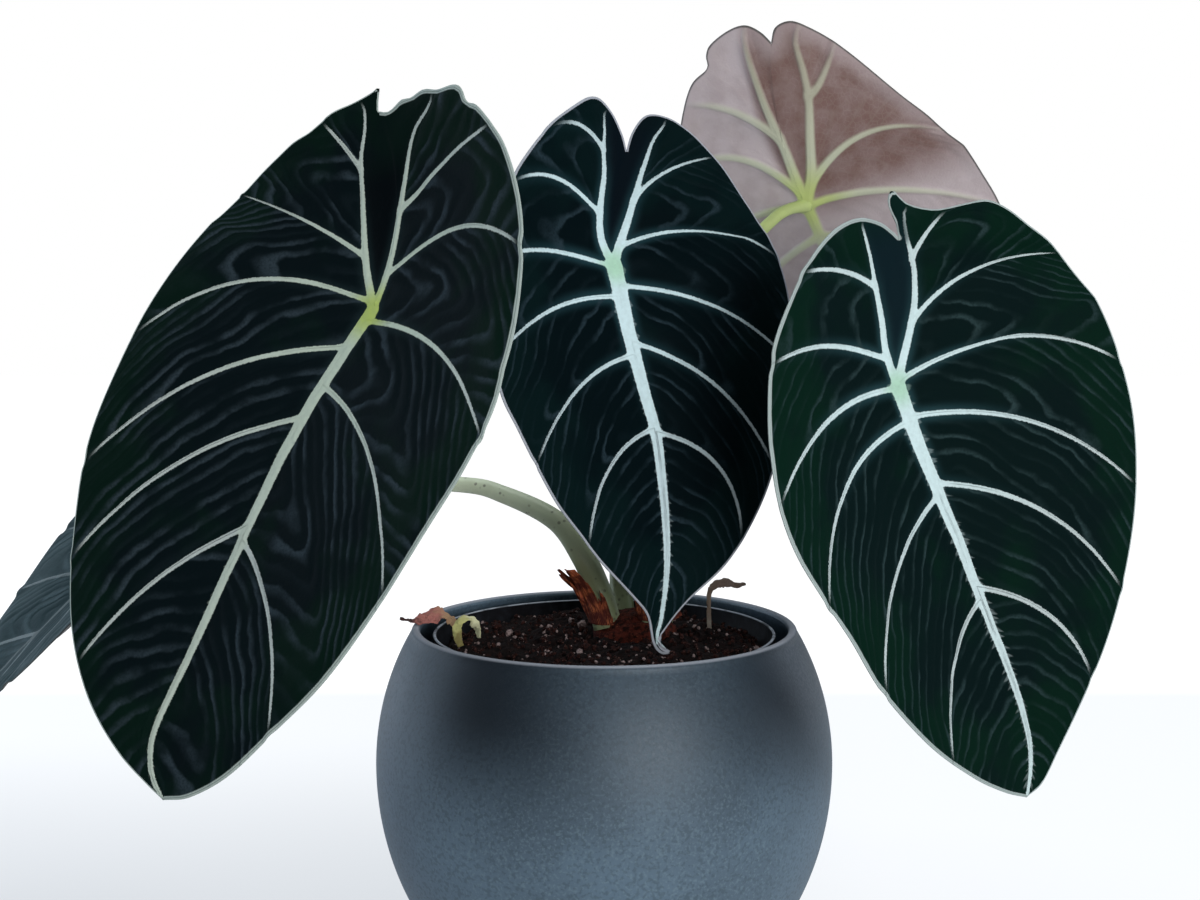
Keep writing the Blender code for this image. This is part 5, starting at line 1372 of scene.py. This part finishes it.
def husk_group():
    """A withered strip: three tones along it, blotched and crinkled."""
    tree, n, given, out = node_group("husk", dict(Color=("First", "Second", "Third")),
                                     dict(Color=("Base Color",), Vector=("Normal",)))
    place = n.math("ADD", n.field("place"), n.stray(2.5, 3.0, 0.5))
    colour = n.mix(n.step(place, 0.12, 0.32), given["First"], given["Second"])
    colour = n.mix(n.step(place, 0.45, 0.70), colour, given["Third"])
    blotched = n.mix(0.5, colour, given["First"])
    colour = n.mix(n.step(n.noise(1.2, 4.0), 0.55, 0.7, 0.0, 0.6), colour, blotched)
    n.feed(out, {"Base Color": colour, "Normal": n.bump(n.noise(0.8, 4.0), 0.2)})
    return tree


# Studio

def pale_floor():
    """A wide floor that glows, most towards the camera, and is greyest at the front
    left, with a painted shadow of the pot."""
    mat, n, shader = material("pale_floor", roughness=0.7, specular=0.1)
    axes = n.put("SeparateXYZ", {0: n.place()}).outputs
    away = n.put("VectorMath", {0: n.place()}, operation="LENGTH").outputs["Value"]
    # Painted shadow of the pot on the floor at the front left.
    grey = n.times(n.step(axes[0], -0.06, 0.13, 1.0, 0.0), n.step(axes[1], 0.04, 0.33, 1.0, 0.0))
    white = n.math("MAXIMUM", n.step(axes[1], 0.40, 0.43), n.step(away, 0.9, 1.4))
    glow = n.mix(white, n.mix(grey, (0.82, 0.84, 0.86), (0.60, 0.625, 0.65)), (1.0, 1.0, 1.0))
    seen = n.put("LightPath").outputs["Is Camera Ray"]
    n.feed(shader, {"Base Color": (0.16, 0.16, 0.165), "Emission Color": glow,
                    "Emission Strength": n.math("ADD", 0.45, n.times(seen, 0.55))})
    mesh = bpy.data.meshes.new("floor")
    corners = [(x * FLOOR_HALF, y * FLOOR_HALF, 0) for x, y in ((-1, -1), (1, -1), (1, 1), (-1, 1))]
    mesh.from_pydata(corners, [], [(0, 1, 2, 3)])
    mesh.materials.append(mat)
    floor = bpy.data.objects.new("floor", mesh)
    bpy.context.scene.collection.objects.link(floor)


def surroundings():
    """White where the camera looks past the floor, and a dim bluish light elsewhere."""
    world = bpy.data.worlds.new("white_room")
    bpy.context.scene.world = world
    world.use_nodes = True
    n = Nodes(world.node_tree)
    white = n.put("Background", {"Color": (1.0, 1.0, 1.0), "Strength": 1.0}).outputs[0]
    lights = n.put("Background", {"Color": (0.84, 0.94, 1.04), "Strength": 0.2}).outputs[0]
    seen = n.put("LightPath").outputs["Is Camera Ray"]
    mixed = n.put("MixShader", {0: seen, 1: lights, 2: white}).outputs[0]
    n.join(mixed, world.node_tree.nodes["World Output"].inputs["Surface"])


def lamp(name, place, size, watts, tint):
    """A soft round lamp that the camera doesn't see."""
    light = bpy.data.lights.new(name, "AREA")
    light.shape, light.size, light.energy, light.color = "DISK", size, watts, tint
    bulb = bpy.data.objects.new(name, light)
    bulb.visible_camera = False
    bulb.location = place
    x, y, z = np.array(place) - LAMPS_AIM
    bulb.rotation_euler = (math.atan2(math.hypot(x, y), z), 0, math.atan2(x, -y))
    bpy.context.scene.collection.objects.link(bulb)


def studio():
    """The floor, the surroundings, the lamps and the camera."""
    scene = bpy.context.scene
    scene.view_settings.view_transform = "Standard"
    pale_floor()
    surroundings()
    for settings in LAMPS:
        lamp(*settings)
    camera = bpy.data.cameras.new("eye")
    camera.lens, camera.sensor_width = LENS, SENSOR
    eye = bpy.data.objects.new("eye", camera)
    eye.location = EYE
    eye.rotation_euler = (math.radians(90 - EYE_DOWN), 0, 0)
    scene.collection.objects.link(eye)
    scene.camera = eye


def main():
    """Build every piece round the frame."""
    studio()
    velvet, back = velvet_group(), back_group()
    silver = dressed(*material("silver_back", roughness=0.55, specular=0.25), back, SILVER_BACK)
    mauve = dressed(*material("mauve_back", roughness=0.55, specular=0.25), back, MAUVE_BACK)
    for key, dress in DRESS.items():
        face = dressed(*material(f"velvet_{key}", specular=0.012), velvet, dress)
        blade(key, face, mauve if key == "back" else silver)
    skin = skin_group()
    sage = dressed(*material("sage_stalk", roughness=0.42, specular=0.4), skin, SAGE_SKIN)
    lime = dressed(*material("lime_stalk", roughness=0.42, specular=0.4), skin, LIME_SKIN)
    for key in PETIOLES:
        petiole(key, lime if key == "back" else sage)
    group = crumbs_group()
    crumbs = {name: dressed(*material(name, roughness=0.9, specular=0.1), group, values)
              for name, values in CRUMBS.items()}
    crown(crumbs["rhizome_bark"])
    cover_pot(slate_glaze())
    nursery_pot(black_plastic())
    soil(crumbs["potting_mix"])
    rng = np.random.default_rng(7)
    grains("bark_bits", rng, 700, (0.8, 2.6), (0.5, 1.3), 0.35, crumbs["bark_bits"])
    grains("grit", rng, 240, (0.5, 1.5), (0.7, 1.2), 0.4, crumbs["pale_grit"])
    grains("grit_lumps", rng, 22, (1.6, 4.0), (0.6, 1.2), 0.15, crumbs["pale_grit"])
    old = old_sheath()
    for key in SHEATHS:
        sheath(key, old)
    husk = husk_group()
    for key, data in SCRAPS.items():
        tones = dict(zip(("first", "second", "third"), data["tones"]))
        scrap(key, dressed(*material(data["husk"], roughness=0.8, specular=0.2), husk, tones))


main()
